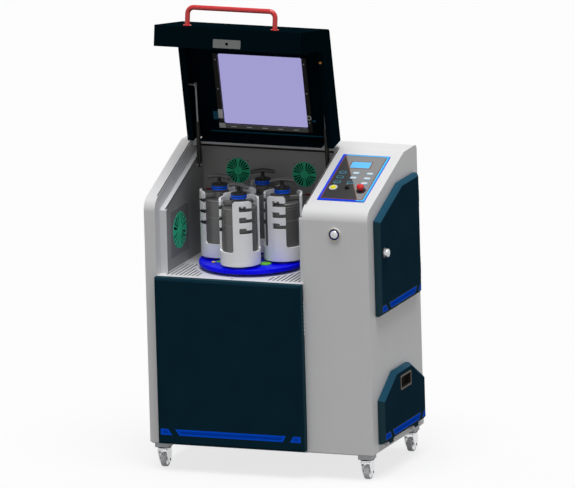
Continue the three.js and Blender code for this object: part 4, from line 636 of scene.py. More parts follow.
# The y and z of the struts' lower studs, and the direction and length of the struts with the lid open
STRUT_LOWER = (405, 1035)
STRUT_DIRECTION = Vector((0, -0.0745, 0.9972))
STRUT_LENGTH = 331.06
STRUT_UPPER = Vector((0, *STRUT_LOWER)) + STRUT_LENGTH * STRUT_DIRECTION


def is_seat(centre, normal):
    """The sloping top and the front of a side pan, which are as pale as the cabinet."""
    front = normal.y < -0.9 and centre.y < SEAT_FRONT
    return front or abs(normal.dot(slope_normal)) > 0.95 and centre.z > LID_CORNER.z - FAN_PLATE / 2


def on_pin(pin, inset):
    """A test for the faces of a strut's pin that are further into the bay than the inset."""
    def chosen(centre, _):
        near = hypot(centre.y - pin[0], centre.z - pin[1]) < STUD_REACH
        return near and BAY_LEFT + inset < centre.x < BAY_RIGHT - inset
    return chosen


def is_pocket(centre, _):
    """The inside of the hatch's pull."""
    left, right, foot, top = PULL
    inside = left - 1 < centre.y < right + 1 and foot - 1 < centre.z < top + 1
    return inside and centre.x < span("lower_hatch")[1].x - 0.5


def is_fan_plate(centre, normal):
    fan = middle("fan_impeller_3")
    inside = max(abs(centre.y - fan.y), abs(centre.z - fan.z)) < FAN_PLATE / 2 + 1
    return inside and centre.x > SIDE_WALL_FACE - 2.6 and normal.x > 0.9


def dress_cabinet():
    for row in PLAIN_NODES:
        dress(*row)
    side_hole = (fan_hole(SIDE_GUARD_RADIUS - SIDE_GUARD_LAP), side_fan_place())
    # The walls get the darker gray as painted shade inside the chamber, and pale seats
    left_wall = dress("chamber_left_wall", "chamber_shaded_gray", 0, cuts=[side_hole])
    for wall in (left_wall, dress("chamber_right_wall", "chamber_shaded_gray", 0.6)):
        repaint(wall, "seat_white", is_seat)
        repaint(wall, "fan_plate_gray", is_fan_plate)
        repaint(wall, "bracket_gray", on_pin(STRUT_LOWER, WALL_PIN_INSET))
    rear_holes = [(fan_hole(REAR_GUARD_RADIUS - REAR_GUARD_LAP), rear_fan_place(number))
                  for number in (1, 2)]
    dress("chamber_rear_wall", "chamber_shaded_gray", 0, cuts=rear_holes)
    square_edges = lambda centre, normal: max(abs(normal.x), abs(normal.z)) > SQUARE
    # The front panel's sides, top and bottom are painted lighter than its face, as painted light
    repaint(dress("front_panel", "panel_navy", 0.6), "panel_lit_side", square_edges)
    for node in ("service_door", "lower_hatch"):
        # The door and hatch take the lighter navy, painted light on their sideways faces
        panel = dress(node, "door_lit_navy", 0.6)
        # The door's and hatch's edges and chamfers are painted lighter, as painted light
        repaint(panel, "panel_lit_side", lambda centre, normal: abs(normal.x) < SQUARE)
        # The upward chamfers are lighter still, as painted highlight
        repaint(panel, "panel_lit_top", lambda centre, normal: abs(normal.x) < SQUARE and normal.z > 0.3)
    repaint(panel, "pocket_gray", is_pocket)
    (left, right), (front, rear) = WINDOW_X, WINDOW_Y
    opening = prism(rounded(rectangle(left + 0.6, right - 0.6, front + 0.6, rear - 0.6), 8), -3.2, 4)
    # The lid takes the darker navy, painted shade on its open face
    lid = dress("lid_shell", "lid_navy", 0, cuts=[(opening, LID_TOP)])
    repaint(lid, "bracket_gray", on_pin(STRUT_UPPER.yz, LID_PIN_INSET))


# Stripes: slanted-ended bands of film in layers of inset, height and finish
STRIPE_LAYERS = ((0.0, 0.10, "stripe_edge"), (2.6, 0.16, "stripe_blue"), (9.0, 0.22, "stripe_deep"))
END_INSET_SHARE = 1.4
# A panel's foot and top, and its bands: the left x at top and foot, and the right x at top and foot
STRIPES = {
    "front": (39, 69, (((57, 57), (94, 114)), ((116, 138), (594, 576)), ((618, 600), (654, 654)))),
    "door": (558, 586, (((76, 76), (118, 142)), ((149, 172), (465, 436)), ((498, 468), (507, 507)))),
    "hatch": (43, 72, (((73, 73), (127, 145)), ((149, 176), (471, 445)), ((503, 475), (517, 517)))),
}


def band_outline(foot, top, ends, inset):
    share = inset / (top - foot)
    corners = []
    for (at_top, at_foot), side in zip(ends, (1, -1)):
        edge = [(at_foot + (at_top - at_foot) * rise + side * END_INSET_SHARE * inset, level)
                for rise, level in ((share, foot + inset), (1 - share, top - inset))]
        corners += edge[::-side]
    return corners


def make_stripes():
    places = {"front": (-PANEL_FACE, "cabinet", FRONT),
              "door": (span("service_door")[1].x, "service_door", RIGHT_SIDE),
              "hatch": (span("lower_hatch")[1].x, "lower_hatch", RIGHT_SIDE)}
    for name, (foot, top, bands) in STRIPES.items():
        face, body, place = places[name]
        for number, ends in enumerate(bands, 1):
            for layer, (inset, proud, finish) in enumerate(STRIPE_LAYERS, 1):
                shape = prism(band_outline(foot, top, ends, inset), face, face + proud)
                piece(f"{name}_stripe_{number}_{layer}", shape, finish, 0, body=body, place=place)


def around(shape, radius, count, first=0.0):
    """Copies of a shape round z, turned along, the first at an angle in degrees."""
    turns = [rotated(first + 360 * k / count, "Z") for k in range(count)]
    return joined(*[placed(shape, turn @ shifted(radius, 0, 0)) for turn in turns])


# Rotor disc with its bosses
DISC_WEB = 12
BOSS_HEIGHT = 4
PAD_DEGREES = 41
JAR_COUNT = 4
JAR_PITCH_RADIUS = 132


def make_disc():
    low, high = span("rotor_disc")
    centre = (low + high) / 2
    part = partial(piece, body="rotor", place=CABINET @ shifted(centre.x, centre.y, 0))
    radius = (high.x - low.x) / 2
    foot, boss_top = low.z, high.z
    top = boss_top - BOSS_HEIGHT
    underside = top - DISC_WEB
    profile = [(26, underside), (radius - 10, underside), (radius - 10, foot), (radius - 3, foot),
               (radius, foot + 3), (radius, top - 5), (radius - 1.5, top - 1.5), (radius - 5, top),
               (26, top)]
    part("rotor_disc_body", lathe(profile, 160), "disc_blue", 0.5, replaces=["rotor_disc"])
    boss = lathe(drum(25, top - 3, boss_top), 40)
    part("disc_bosses", around(boss, 118, 4, 45), "boss_lime", 1.2, 3)
    bar = prism(rounded(rectangle(120, 152, -9, 9), 4), top - 2, boss_top - 1)
    part("disc_bars", around(bar, 0, 2, PAD_DEGREES), "boss_lime", 0.8)
    pin = lathe([(0, top - 2), (8, top - 2), (8, boss_top - 1), (7, boss_top), (0, boss_top)], 32)
    part("disc_pins", around(pin, 164, 2, PAD_DEGREES), "boss_yellow", 0.4)
    ring = lathe(drum(36, top - 2, top + 0.3, 18), 48)
    part("spindle_rings", around(ring, JAR_PITCH_RADIUS, JAR_COUNT), "knob_black", 0.3)


# Jar holders: a slotted wall drawn flat, one third at a time, then wrapped round
HOLDER_RADIUS = 80
HOLDER_HEIGHT = 262
HOLDER_WALL = 9
HOLDER_FLOOR = 10
HOLDER_EDGE = 1.2
ARM_COUNT = 3
ARM_OFFSET_DEGREES = 30
CUP_HEIGHT = 55
WINDOW_WIDTH = 82
WINDOW_CORNER = 12
SLOT_COUNT = 3
SLOT_PITCH = 44.5
SLOT_TOP_INSET = 19
SLOT_POCKET_HEIGHT = 21
SLOT_ENTRY_HEIGHT = 12.5
SLOT_POCKET_SHARES = (0.33, 0.69)
SECTOR_HALF = HOLDER_RADIUS * pi / ARM_COUNT
ARM_HALF = SECTOR_HALF - HOLDER_RADIUS * asin(WINDOW_WIDTH / 2 / HOLDER_RADIUS)
WRAP_STEPS = 12
TINY = 0.01
WELD_DISTANCE = 0.02
# Planet gear: teeth, root and tip radius, and height
GEAR_TEETH = 16
GEAR_ROOT = 39
GEAR_TIP = 48.5
GEAR_HEIGHT = 12


def arm_outline(foot, top):
    """One third of the wall: part of the cup with an arm on it, and the slots open to the right."""
    cup = foot + CUP_HEIGHT
    near, far = [ARM_HALF * (2 * share - 1) for share in SLOT_POCKET_SHARES]
    points = [(-SECTOR_HALF, foot), (SECTOR_HALF, foot), (SECTOR_HALF, cup), (ARM_HALF, cup)]
    radii = [0, 0, 0, WINDOW_CORNER]
    for index in reversed(range(SLOT_COUNT)):
        slot_top = top - SLOT_TOP_INSET - index * SLOT_PITCH
        slot_foot = slot_top - SLOT_POCKET_HEIGHT
        entry_top = slot_foot + SLOT_ENTRY_HEIGHT
        points += [(ARM_HALF, slot_foot), (near, slot_foot), (near, slot_top), (far, slot_top),
                   (far, entry_top), (ARM_HALF, entry_top)]
        radii += [2, 4, 4, 3, 2, 2]
    points += [(ARM_HALF, top), (-ARM_HALF, top), (-ARM_HALF, cup), (-SECTOR_HALF, cup)]
    radii += [WINDOW_CORNER, WINDOW_CORNER, WINDOW_CORNER, 0]
    return rounded(points, radii, 4)


def is_seam(edge):
    return all(abs(abs(vertex.co.x) - SECTOR_HALF) < TINY for vertex in edge.verts)


def holder_wall(foot, top):
    """The wrapped wall in millimetres about its own axis."""
    work = bmesh.new()
    front = work.faces.new([work.verts.new((x, 0, z)) for x, z in arm_outline(foot, top)])
    back = bmesh.ops.extrude_face_region(work, geom=[front])["geom"]
    back = [item for item in back if isinstance(item, bmesh.types.BMVert)]
    bmesh.ops.translate(work, vec=(0, HOLDER_WALL, 0), verts=back)
    rims = [edge for edge in work.edges
            if abs(edge.verts[0].co.y - edge.verts[1].co.y) < TINY and not is_seam(edge)]
    bmesh.ops.bevel(work, geom=rims, offset=HOLDER_EDGE, segments=2, profile=0.6, affect="EDGES")
    seams = [face for face in work.faces if all(is_seam(edge) for edge in face.edges)]
    bmesh.ops.delete(work, geom=seams, context="FACES_ONLY")
    bmesh.ops.triangulate(work, faces=[face for face in work.faces if len(face.verts) > 4])
    for step in range(1 - WRAP_STEPS, WRAP_STEPS):
        everything = [*work.verts, *work.edges, *work.faces]
        middle_line = (SECTOR_HALF * step / WRAP_STEPS, 0, 0)
        bmesh.ops.bisect_plane(work, geom=everything, plane_co=middle_line, plane_no=(1, 0, 0))
    work.verts.index_update()
    faces = [[vertex.index for vertex in face.verts] for face in work.faces]
    points = []
    for x, depth, z in [vertex.co for vertex in work.verts]:
        radius, angle = HOLDER_RADIUS - depth, x / HOLDER_RADIUS
        points.append(Vector((radius * cos(angle), radius * sin(angle), z)))
    work.free()
    return around((points, faces), 0, ARM_COUNT, ARM_OFFSET_DEGREES)


def gear_outline():
    """The planet gear's outline, with straight-flanked teeth and a gap at the start."""
    points = []
    for tooth in range(GEAR_TEETH):
        for share, radius in ((-0.3, GEAR_ROOT), (-0.15, GEAR_TIP), (0.15, GEAR_TIP), (0.3, GEAR_ROOT)):
            angle = pi + 2 * pi / GEAR_TEETH * (tooth + share + 0.5)
            points.append((radius * cos(angle), radius * sin(angle)))
    return points


def make_holder(number, place):
    low, high = span(f"jar_holder_{number}")
    top, foot, gear_foot = high.z, high.z - HOLDER_HEIGHT, low.z
    body = f"jar_set_{number}"
    wall = object_from(f"holder_wall_{number}", holder_wall(foot, top), place)
    weld = WELD_DISTANCE * MM
    remade(wall.data, lambda work: bmesh.ops.remove_doubles(work, verts=work.verts, dist=weld))
    wall.data.set_sharp_from_angle(angle=SMOOTH_ANGLE)
    soften(wall, 0)
    finished(wall, "holder_steel", body, [f"jar_holder_{number}"])
    axis = (place.translation - CORNER) / MM
    from_axis = lambda centre: Vector((centre.x - axis.x, centre.y - axis.y, 0))

    def is_highlit_rim(centre, normal):
        arm = from_axis(centre)
        return arm.length > HOLDER_RADIUS - HOLDER_EDGE - 0.1 and normal.dot(arm.normalized()) < 0.94

    def is_shaded_slot_face(centre, normal):
        inside = foot + CUP_HEIGHT + WINDOW_CORNER < centre.z < top - WINDOW_CORNER
        return inside and abs(normal.z) > 0.5 and abs(normal.dot(from_axis(centre).normalized())) < 0.3

    # The wall's outer rims get a painted highlight
    repaint(wall, "holder_rim_highlight", is_highlit_rim)
    # The slots' upper and lower faces are painted black as painted shade inside the slots
    repaint(wall, "black_and_painted_shade", is_shaded_slot_face)
    part = partial(piece, body=body, place=place)
    floor = [(0, 0), (HOLDER_RADIUS - 1, 0), (HOLDER_RADIUS - 0.5, 0.6), (HOLDER_RADIUS - 2, HOLDER_FLOOR),
             (0, HOLDER_FLOOR)]
    part(f"holder_floor_{number}", lathe(raised(floor, foot), 96), "holder_steel", 0.3)
    spindle = [(0, gear_foot), (17, gear_foot), (17, foot - 10.5), (35, foot - 10.5), (35, foot), (0, foot)]
    part(f"holder_spindle_{number}", lathe(spindle, 48), "gear_steel", 0.5)
    gear = prism(gear_outline(), gear_foot, gear_foot + GEAR_HEIGHT)
    part(f"planet_gear_{number}", gear, "gear_steel", 0.3)


def make_jar(number, place):
    low, high = span(f"jar_{number}")
    radius, height = (high.x - low.x) / 2, high.z - low.z
    inner = radius - 8
    profile = [(0, 0), (radius - 3, 0), (radius, 3), (radius, 150), (radius - 1, 151), (radius - 1, 155),
               (radius, 156), (radius, height - 1), (radius - 1, height), (inner, height), (inner, 12),
               (inner - 4, 8), (0, 8)]
    piece(f"jar_body_{number}", lathe(raised(profile, low.z), 96), "jar_steel", 0.3,
          replaces=[f"jar_{number}"], body=f"jar_set_{number}", place=place)


# Jar covers, each with the clamp yoke on it
COVER_HEIGHT = 22
COVER_RADIUS = 69
SPIGOT = (59, 5)
YOKE_HALF_WIDTH = 13
YOKE_HEIGHT = 16
YOKE_TOP_INSET = 9
YOKE_HUB_RADIUS = 28
SCREW_BORE = 10.5


def make_cover(number, place):
    low, high = span(f"jar_cover_{number}")
    part = partial(piece, body=f"jar_set_{number}", place=place)
    spigot_radius, foot = SPIGOT
    radius, top = COVER_RADIUS, foot + COVER_HEIGHT
    profile = [(0, 0), (spigot_radius, 0), (spigot_radius, foot), (radius - 1, foot), (radius, foot + 1),
               (radius, foot + 8), (radius - 1.5, foot + 9), (radius - 1.5, foot + 12), (radius, foot + 13),
               (radius, top - 3), (radius - 3, top), (30, top), (SCREW_BORE, top), (SCREW_BORE, top - 3),
               (0, top - 3)]
    part(f"cover_plate_{number}", lathe(raised(profile, low.z), 96), "jar_steel", 0.3,
         replaces=[f"jar_cover_{number}"])
    cover_top, hub_top = low.z + top, high.z
    hub = [(SCREW_BORE, cover_top), (YOKE_HUB_RADIUS, cover_top), (YOKE_HUB_RADIUS, hub_top - 4),
           (YOKE_HUB_RADIUS - 4, hub_top), (SCREW_BORE, hub_top)]
    part(f"yoke_hub_{number}", lathe(hub, 64), "jar_steel", 0.5)
    yoke_top, half = hub_top - YOKE_TOP_INSET, YOKE_HALF_WIDTH
    outline = rounded([(18, -half), (67, -half * 0.8), (67, half * 0.8), (18, half)], [0, 5, 5, 0], 4)
    arm = prism(outline, yoke_top - YOKE_HEIGHT, yoke_top)
    part(f"yoke_arms_{number}", around(arm, 0, ARM_COUNT, ARM_OFFSET_DEGREES), "jar_steel", 1.2)
    pin = lathe([(0, 0), (5.5, 0), (5.5, 14.5), (4.5, 15.5), (0, 15.5)], 24)
    pin = placed(pin, shifted(0, 0, yoke_top - YOKE_HEIGHT / 2) @ rotated(90, "Y"))
    part(f"yoke_pins_{number}", around(pin, 62.5, ARM_COUNT, ARM_OFFSET_DEGREES), "holder_steel", 0.4)


# Clamp screws: a banded knob, and an arched and winged handle on its stem
HANDLE_YAWS = (-20, 20, 20, 0)
KNOB_HEIGHT = 24
KNOB_TO_BAR = 32
BAR_DROP = 6
BAR_RADIUS = 7.4
BAR_REACH = 44
BAR_ARCH = 7
BAR_FLATNESS = 1.5
BAR_STEPS = 8
KNOB_BAND = [(27, 0), (31.2, 0), (31.8, 1), (31.8, 5), (31.2, 6), (27, 6)]
KNOB_STEM = [(0, 0), (12, 0), (9, 6), (7, 12), (7, 27), (9, 32), (8, 36.6), (0, 37.6)]
# From the knob's foot
KNOB_ROWS = (
    ("clamp_screw_{}_knob", [(0, 0), (26, 0), (29, 2), (29, 19), (32, 19.6), (32, 23), (30, 24), (11, 24),
                             (9, 27), (0, 27)], 72, "knob_black", 0.3),
    ("clamp_screw_{}_band_1", raised(KNOB_BAND, 3), 72, "knob_blue", 0),
    ("clamp_screw_{}_band_2", raised(KNOB_BAND, 12), 72, "knob_blue", 0),
    ("clamp_screw_{}_rim", [(24, 0.4), (28.6, 0.4), (29.4, 2.8), (24, 2.8)], 72, "knob_tan", 0.2),
    ("clamp_screw_{}_stem", raised(KNOB_STEM, KNOB_HEIGHT), 40, "knob_black", 0.4))
WING = [(0, -9), (4, -8.2), (6.6, -5), (7.2, 0), (6.6, 5), (4, 8.2), (0, 9)]


def make_clamp(number, place, yaw):
    low, high = span(f"clamp_screw_{number}")
    body = f"screw_{number}"
    bar_height = high.z - BAR_DROP
    knob_foot = bar_height - KNOB_TO_BAR - KNOB_HEIGHT
    thread = [(0, low.z), (9, low.z), (10, low.z + 1), (10, knob_foot), (0, knob_foot)]
    turned([("clamp_screw_{}_thread", thread, 40, "gear_steel", 0.2, "clamp_screw_{}")], number,
           body=body, place=place)
    turned(KNOB_ROWS, number, body=body, place=place @ shifted(0, 0, knob_foot))
    turn = place @ rotated(yaw, "Z") @ shifted(0, 0, bar_height)
    shares = [step / BAR_STEPS - 1 for step in range(2 * BAR_STEPS + 1)]
    line = [(BAR_REACH * share, 0, -BAR_ARCH * share ** 2) for share in shares]
    flat = turn @ Matrix.Diagonal((1, BAR_FLATNESS, 1, 1))
    piece(f"clamp_screw_{number}_bar", tube(line, BAR_RADIUS, 16), "grip_gray", 0, body=body, place=flat)
    wings = [placed(lathe(WING, 24), shifted(reach, 0, -BAR_ARCH) @ rotated(90, "Y"))
             for reach in (3 - BAR_REACH, BAR_REACH - 3)]
    piece(f"clamp_screw_{number}_wings", joined(*wings), "grip_gray", 0, body=body, place=turn)


def make_jars():
    for number in range(1, JAR_COUNT + 1):
        angle = 360 / JAR_COUNT * (number - 1) - 90
        centre = middle(f"jar_{number}")
        place = CABINET @ shifted(centre.x, centre.y, 0) @ rotated(angle, "Z")
        make_holder(number, place)
        make_jar(number, place)
        make_cover(number, place)
        make_clamp(number, place, HANDLE_YAWS[number - 1] - angle)


# Fans: green guards over round openings, with the impellers and their dark housings behind them
REAR_GUARD_RADIUS = 50
REAR_GUARD_LAP = 2.5
SIDE_GUARD_RADIUS = 72.5
SIDE_GUARD_LAP = 3
SIDE_WALL_FACE = BAY_LEFT + 24.5
FAN_REACH = 20
FAN_THICKNESS = 14
BLADE_COUNT = 7
SPOKE_COUNT = 4
SLOT_SHARE = 0.6
FAN_HUB = [(4.3, 0), (17, 0), (18, 1), (18, 13), (17, 14), (4.3, 14)]
FAN_CUP = [(0, -24), (54, -24), (54, -3.4), (51, -3.4), (51, -22), (0, -22)]
GUARD_SCREW = [(0, 0.2), (2.4, 0.2), (2, 1.2), (0, 1.4)]


def rear_fan_place(number):
    centre = middle(f"fan_impeller_{number}")
    return CABINET @ shifted(centre.x, span("chamber_rear_wall")[0].y, centre.z) @ rotated(90, "X")


def side_fan_place():
    centre = middle("fan_impeller_3")
    return CABINET @ shifted(SIDE_WALL_FACE, centre.y, centre.z) @ rotated(90, "Y")


def fan_hole(radius):
    return lathe(drum(radius, -FAN_REACH, FAN_REACH), 64)


def make_guard(name, radius, hub, slots, thickness, place):
    """A round guard with radial slots between its solid spokes."""
    inner, outer = hub + 4, radius - 3
    dish = thickness - 1.4
    solid = [(0, 0), (radius - 1, 0), (radius, 1), (radius, thickness - 1), (radius - 1, thickness),
             (hub + 3, thickness), (hub + 2, dish), (hub - 1, dish), (hub - 2, thickness), (0, thickness)]
    near, far = [SLOT_SHARE * pi * reach / slots for reach in (inner, outer)]
    slot = prism([(inner, -near), (outer, -far), (outer, far), (inner, near)], -thickness, 2 * thickness)
    tools = [placed(slot, rotated(360 * k / slots, "Z")) for k in range(slots) if k % (slots // SPOKE_COUNT)]
    cut_piece(name, lathe(solid, 96), joined(*tools), "fan_green", "cabinet", place)


def make_impeller(number, radius, face, turn):
    """A fan wheel with swept blades, from the low face of its node."""
    ride = dict(body=f"fan_{number}", place=CABINET @ shifted(*face) @ turn)
    turned([("impeller_hub_{}", FAN_HUB, 40, "blade_dark", 0.4, "fan_impeller_{}")], number, **ride)
    blade = placed(block(15, radius - 2, -6, 6, -1, 1), shifted(0, 0, FAN_THICKNESS / 2) @ rotated(35, "X"))
    piece(f"impeller_blades_{number}", around(blade, 0, BLADE_COUNT), "blade_dark", 0.4, **ride)


def make_fans():
    for number in (1, 2):
        place = rear_fan_place(number)
        centre = middle(f"fan_impeller_{number}")
        make_guard(f"rear_guard_{number}", REAR_GUARD_RADIUS, 12, 24, 2.6, place)
        screws = around(lathe(GUARD_SCREW, 20), REAR_GUARD_RADIUS + 9, 4, 45)
        piece(f"rear_guard_screws_{number}", screws, "knob_black", 0, place=place)
        piece(f"rear_fan_housing_{number}", lathe(FAN_CUP, 64), "black_and_painted_shade", 0.4, place=place)
        face = (centre.x, span(f"fan_impeller_{number}")[0].y, centre.z)
        make_impeller(number, REAR_GUARD_RADIUS, face, rotated(-90, "X"))
    make_guard("side_guard", SIDE_GUARD_RADIUS, 17, 20, 2.4, side_fan_place())
    centre = middle("fan_impeller_3")
    face = (span("fan_impeller_3")[0].x, centre.y, centre.z)
    make_impeller(3, SIDE_GUARD_RADIUS, face, rotated(90, "Y"))


# Chamber: a seam with two small marks on the rear wall, rubber where the lid meets the slopes, a black
# strip of painted shadow under the rear rail, and dark sheets of painted shade under the deck's vents
SEAM_FOOT = 918
MARKS_LEFT = (80, 500)
RAIL_FRONT = 436
RAIL_FOOT = 1107
WALL_INSET = 24
# The seals on the sloping edges: along the slope, and above or below the panel's plane
UPPER_SEAL = (44, 450, 0.1, 0.5)
LOWER_SEAL = (34, 458, -58.0, -57.6)
VENT_SHADE = (26, 232, 655, 657)
VENT_SHADE_WIDTH = 138


def make_chamber_trim():
    face = span("chamber_rear_wall")[0].y
    seam = block(BAY_LEFT + 23, BAY_RIGHT - 23, face - 0.9, face - 0.1, SEAM_FOOT, SEAM_FOOT + 2.4)
    piece("rear_wall_seam", seam, "seam_gray", 0.2)
    marks = [block(x, x + 22, face - 1.4, face - 0.2, SEAM_FOOT + 3, SEAM_FOOT + 7.5) for x in MARKS_LEFT]
    piece("rear_wall_marks", joined(*marks), "mark_red", 0.3)
    # A black strip along the rear rail's lower edge, painted shadow under the rail
    rail = block(BAY_LEFT + WALL_INSET, BAY_RIGHT - WALL_INSET, RAIL_FRONT - 0.9, RAIL_FRONT - 0.1,
                 RAIL_FOOT, RAIL_FOOT + 8)
    piece("rail_shadow_strip", rail, "seal_black", 0.2)
    across = BAY_LEFT - BAY_RIGHT
    strips = [block(x, x + 4.4, *UPPER_SEAL) for x in (across - 5.4, 1)]
    strips += [block(x, x + 3.6, *LOWER_SEAL) for x in (across + 21.4, -25)]
    piece("slope_seals", joined(*strips), "seal_black", 0.1, place=SLOPE)
    # Dark sheets under the vents, painted shade seen through the slots
    shade_sheets = [block(x, x + VENT_SHADE_WIDTH, *VENT_SHADE) for x in (72, BAY_LEFT + BAY_RIGHT - 210)]
    piece("vent_shade_sheets", joined(*shade_sheets), "black_and_painted_shade", 0)


# Lid: window with its frame, strike plate, bumper and handle
WINDOW_X = (178.65, 532.65)
WINDOW_Y = (130.4, 430.4)
WINDOW_DEPTH = (3.3, 8.3)
FRAME_TOP = -3.2
FRAME_WIDTH = 20
FRAME_SCREW = [(0, 0), (3.2, 0), (3.2, 1.2), (2.2, 2), (0, 2.2)]
DASH_COUNT = 5
DASH_PITCH = 66
INNER_FACE = (-3.9, -3.1)
STRIKE_FOOT = 677.6
BUMPER_SPOT = (645, 302.4, 1500)
BUMPER = [(0, -0.4), (5, -0.4), (5, 2), (4, 3), (0, 3.4)]
RIM_LEAN_DEGREES = 11
HANDLE_HEIGHT = 720
HANDLE_HALF = 184
HANDLE_STAND = 74
HANDLE_BEND = 25
HANDLE_RADIUS = 10
HANDLE_FOOT = [(0, 0.2), (16.5, 0.2), (17, 1), (17, 3.4), (15, 4.4), (0, 4.4)]


def make_window():
    (left, right), (front, rear), (near, far) = WINDOW_X, WINDOW_Y, WINDOW_DEPTH
    part = partial(piece, body="lid", place=LID_TOP)
    pane = prism(rounded(rectangle(left, right, front, rear), 8), -far, -near)
    part("window_pane", pane, "window_glass", 0.4, replaces=["lid_window"])
    under = -far - 1
    outer_left, outer_right, outer_rear = left - FRAME_WIDTH, right + FRAME_WIDTH, rear + 18
    strips = [block(*sides, front - 2, outer_rear, under, FRAME_TOP)
              for sides in ((outer_left, left - 1), (right + 1, outer_right))]
    part("window_frame", joined(*strips), "seal_black", 0.8)
    foot = block(left - 0.8, right + 0.8, rear + 1, outer_rear, under, FRAME_TOP)
    part("window_foot", foot, "bar_gray", 0.8)
    starts = [left + 30 + DASH_PITCH * k for k in range(DASH_COUNT)]
    dashes = [block(x, x + 22, rear + 8, rear + 11, under - 0.3, under - 0.05) for x in starts]
    part("window_foot_marks", joined(*dashes), "seal_pale", 0)
    screws = [placed(lathe(FRAME_SCREW, 20), shifted(x, y, under) @ rotated(180, "X"))
              for x in (left - 10, right + 10) for y in (front + 24, (front + rear) / 2, rear - 24)]
    part("window_frame_screws", joined(*screws), "rod_chrome", 0)
    bracket = joined(block(outer_left, left - 1, rear - 62, rear - 24, under - 0.4, under - 0.05),
                     block(outer_left, left + 6, rear - 4, rear + 17, under - 0.4, under - 0.05))
    part("window_bracket", bracket, "bracket_gray", 0.1)
    # Two tabs on the lid's inner face, in the same teal as the painted highlight
    tabs = joined(block(left - 44, left - 21, rear - 50, rear - 16, *INNER_FACE),
                  block(right + 21, right + 34, rear - 34, rear - 26, *INNER_FACE))
    part("window_tabs", tabs, "teal_line", 0.1)
    ring = placed(lathe(drum(9.6, 0, 1.2, 6), 32), shifted(right + 10, rear - 46, under - 1.4))
    part("window_ring", ring, "bracket_gray", 0)
    # A teal line across the lid's inner face, painted highlight along its bent flange
    line = block(left - 60, right + 60, rear + 32, rear + 37, -3.7, -3.1)
    part("lid_inner_line", line, "teal_line", 0.1)


def make_lid_fittings():
    centre = middle("lid_shell").x
    plate = prism(rounded(rectangle(centre - 58, centre + 58, 6.4, 40.4), 3), STRIKE_FOOT, STRIKE_FOOT + 2)
    hole = prism(circle(6, 32, centre, 23.4), STRIKE_FOOT - 6, STRIKE_FOOT + 10)
    cut_piece("strike_plate", plate, hole, "strike_gray", "lid", LID, 0.4)
    spot = CABINET @ shifted(*BUMPER_SPOT) @ rotated(90 + RIM_LEAN_DEGREES, "X")
    piece("lid_bumper", lathe(BUMPER, 32), "amber", 0, body="lid", place=spot)
    # The handle is a tube bent out of the apron and back, on two round feet
    centre = middle("lid_handle").x
    straight = HANDLE_STAND - HANDLE_BEND
    angles = [pi * step / 16 for step in range(9)]
    bend = [(HANDLE_HALF - HANDLE_BEND * (1 - cos(angle)), straight + HANDLE_BEND * sin(angle))
            for angle in angles]
    half = [(HANDLE_HALF, 0), *bend]
    line = [(-x, out) for x, out in half] + half[::-1]
    points = [(centre + x, PANEL_FACE - out, HANDLE_HEIGHT) for x, out in line]
    part = partial(piece, body="lid", place=LID)
    part("lid_handle_bow", tube(points, HANDLE_RADIUS, 28), "handle_red", 0, replaces=["lid_handle"])
    spots = [shifted(centre + side * HANDLE_HALF, PANEL_FACE, HANDLE_HEIGHT) for side in (-1, 1)]
    feet = [placed(lathe(HANDLE_FOOT, 48), spot @ rotated(90, "X")) for spot in spots]
    part("lid_handle_feet", joined(*feet), "handle_red", 0.3)


# Gas struts, between the stud on the chamber wall and the stud in the lid. Pieces of the rod are
# measured back from its upper eye.
STRUT_EYE = [(4.3, -4), (8.4, -4), (9, -3.4), (9, 3.4), (8.4, 4), (4.3, 4)]
STRUT_NECK = drum(4.75, 8.5, 13)
STRUT_SLEEVE = [(0, -11), (6, -11), (6, -9.5), (4, -8.5), (0, -8.5)]
# Each half's body, its turned piece, and the end, neck, sides and finish of its eye
STRUT_HALVES = (
    ("cylinder", ("strut_tube_{}", [(0, 12), (8, 12), (9.25, 13.5), (9.25, 176), (8.4, 179), (5.4, 180),
                                    (5.1, 180), (5.1, 14), (0, 14)], 40, "strut_black", 0,
                  "strut_cylinder_{}"), "lower", STRUT_NECK, 24, "knob_black"),
    ("rod", ("strut_piston_{}", [(0, -172), (4, -172), (4.75, -171), (4.75, -14), (0, -14)], 32,
             "rod_chrome", 0, "strut_rod_{}"), "upper", STRUT_SLEEVE, 32, "bracket_gray"))


def make_struts():
    lean = degrees(atan2(-STRUT_DIRECTION.y, STRUT_DIRECTION.z))
    for side in ("left", "right"):
        place = CABINET @ shifted(middle(f"strut_cylinder_{side}").x, *STRUT_LOWER) @ rotated(lean, "X")
        for half, row, end, neck, sides, finish in STRUT_HALVES:
            turned([row], side, body=f"{half}_{side}", place=place)
            eye = joined(placed(lathe(STRUT_EYE, 40), rotated(90, "Y")), lathe(neck, sides))
            piece(f"strut_{end}_eye_{side}", eye, finish, 0.3, body=f"{half}_{side}", place=place)
            place = place @ shifted(0, 0, STRUT_LENGTH)


# Control panel: layers of film, the display and the keys on its plate
PLATE_FACE = 3.4
PLATE_LEFT, PLATE_RIGHT = 38.5, 236.0
PLATE_FRONT, PLATE_REAR = 81.0, 408.0
FILM_STEP = 0.3
FILM_THICKNESS = 0.25
KEY_THICKNESS = 0.9
KEY_FACE_LEVEL = 6.2
# The x of the slanted line that parts the dark field from the gray one, at the front and the rear
SPLIT = [PLATE_LEFT + share * (PLATE_RIGHT - PLATE_LEFT) for share in (0.83, 0.08)]
SCREEN = rectangle(760 - BAY_RIGHT, 841.6 - BAY_RIGHT, 313.5, 356.6)
SCREEN_EDGE = rectangle(756 - BAY_RIGHT, 846 - BAY_RIGHT, 309.5, 360.6)
KEY_COLUMNS = (745, 801, 858.6)
KEY_ROWS = (277.6, 243.4, 208.2)


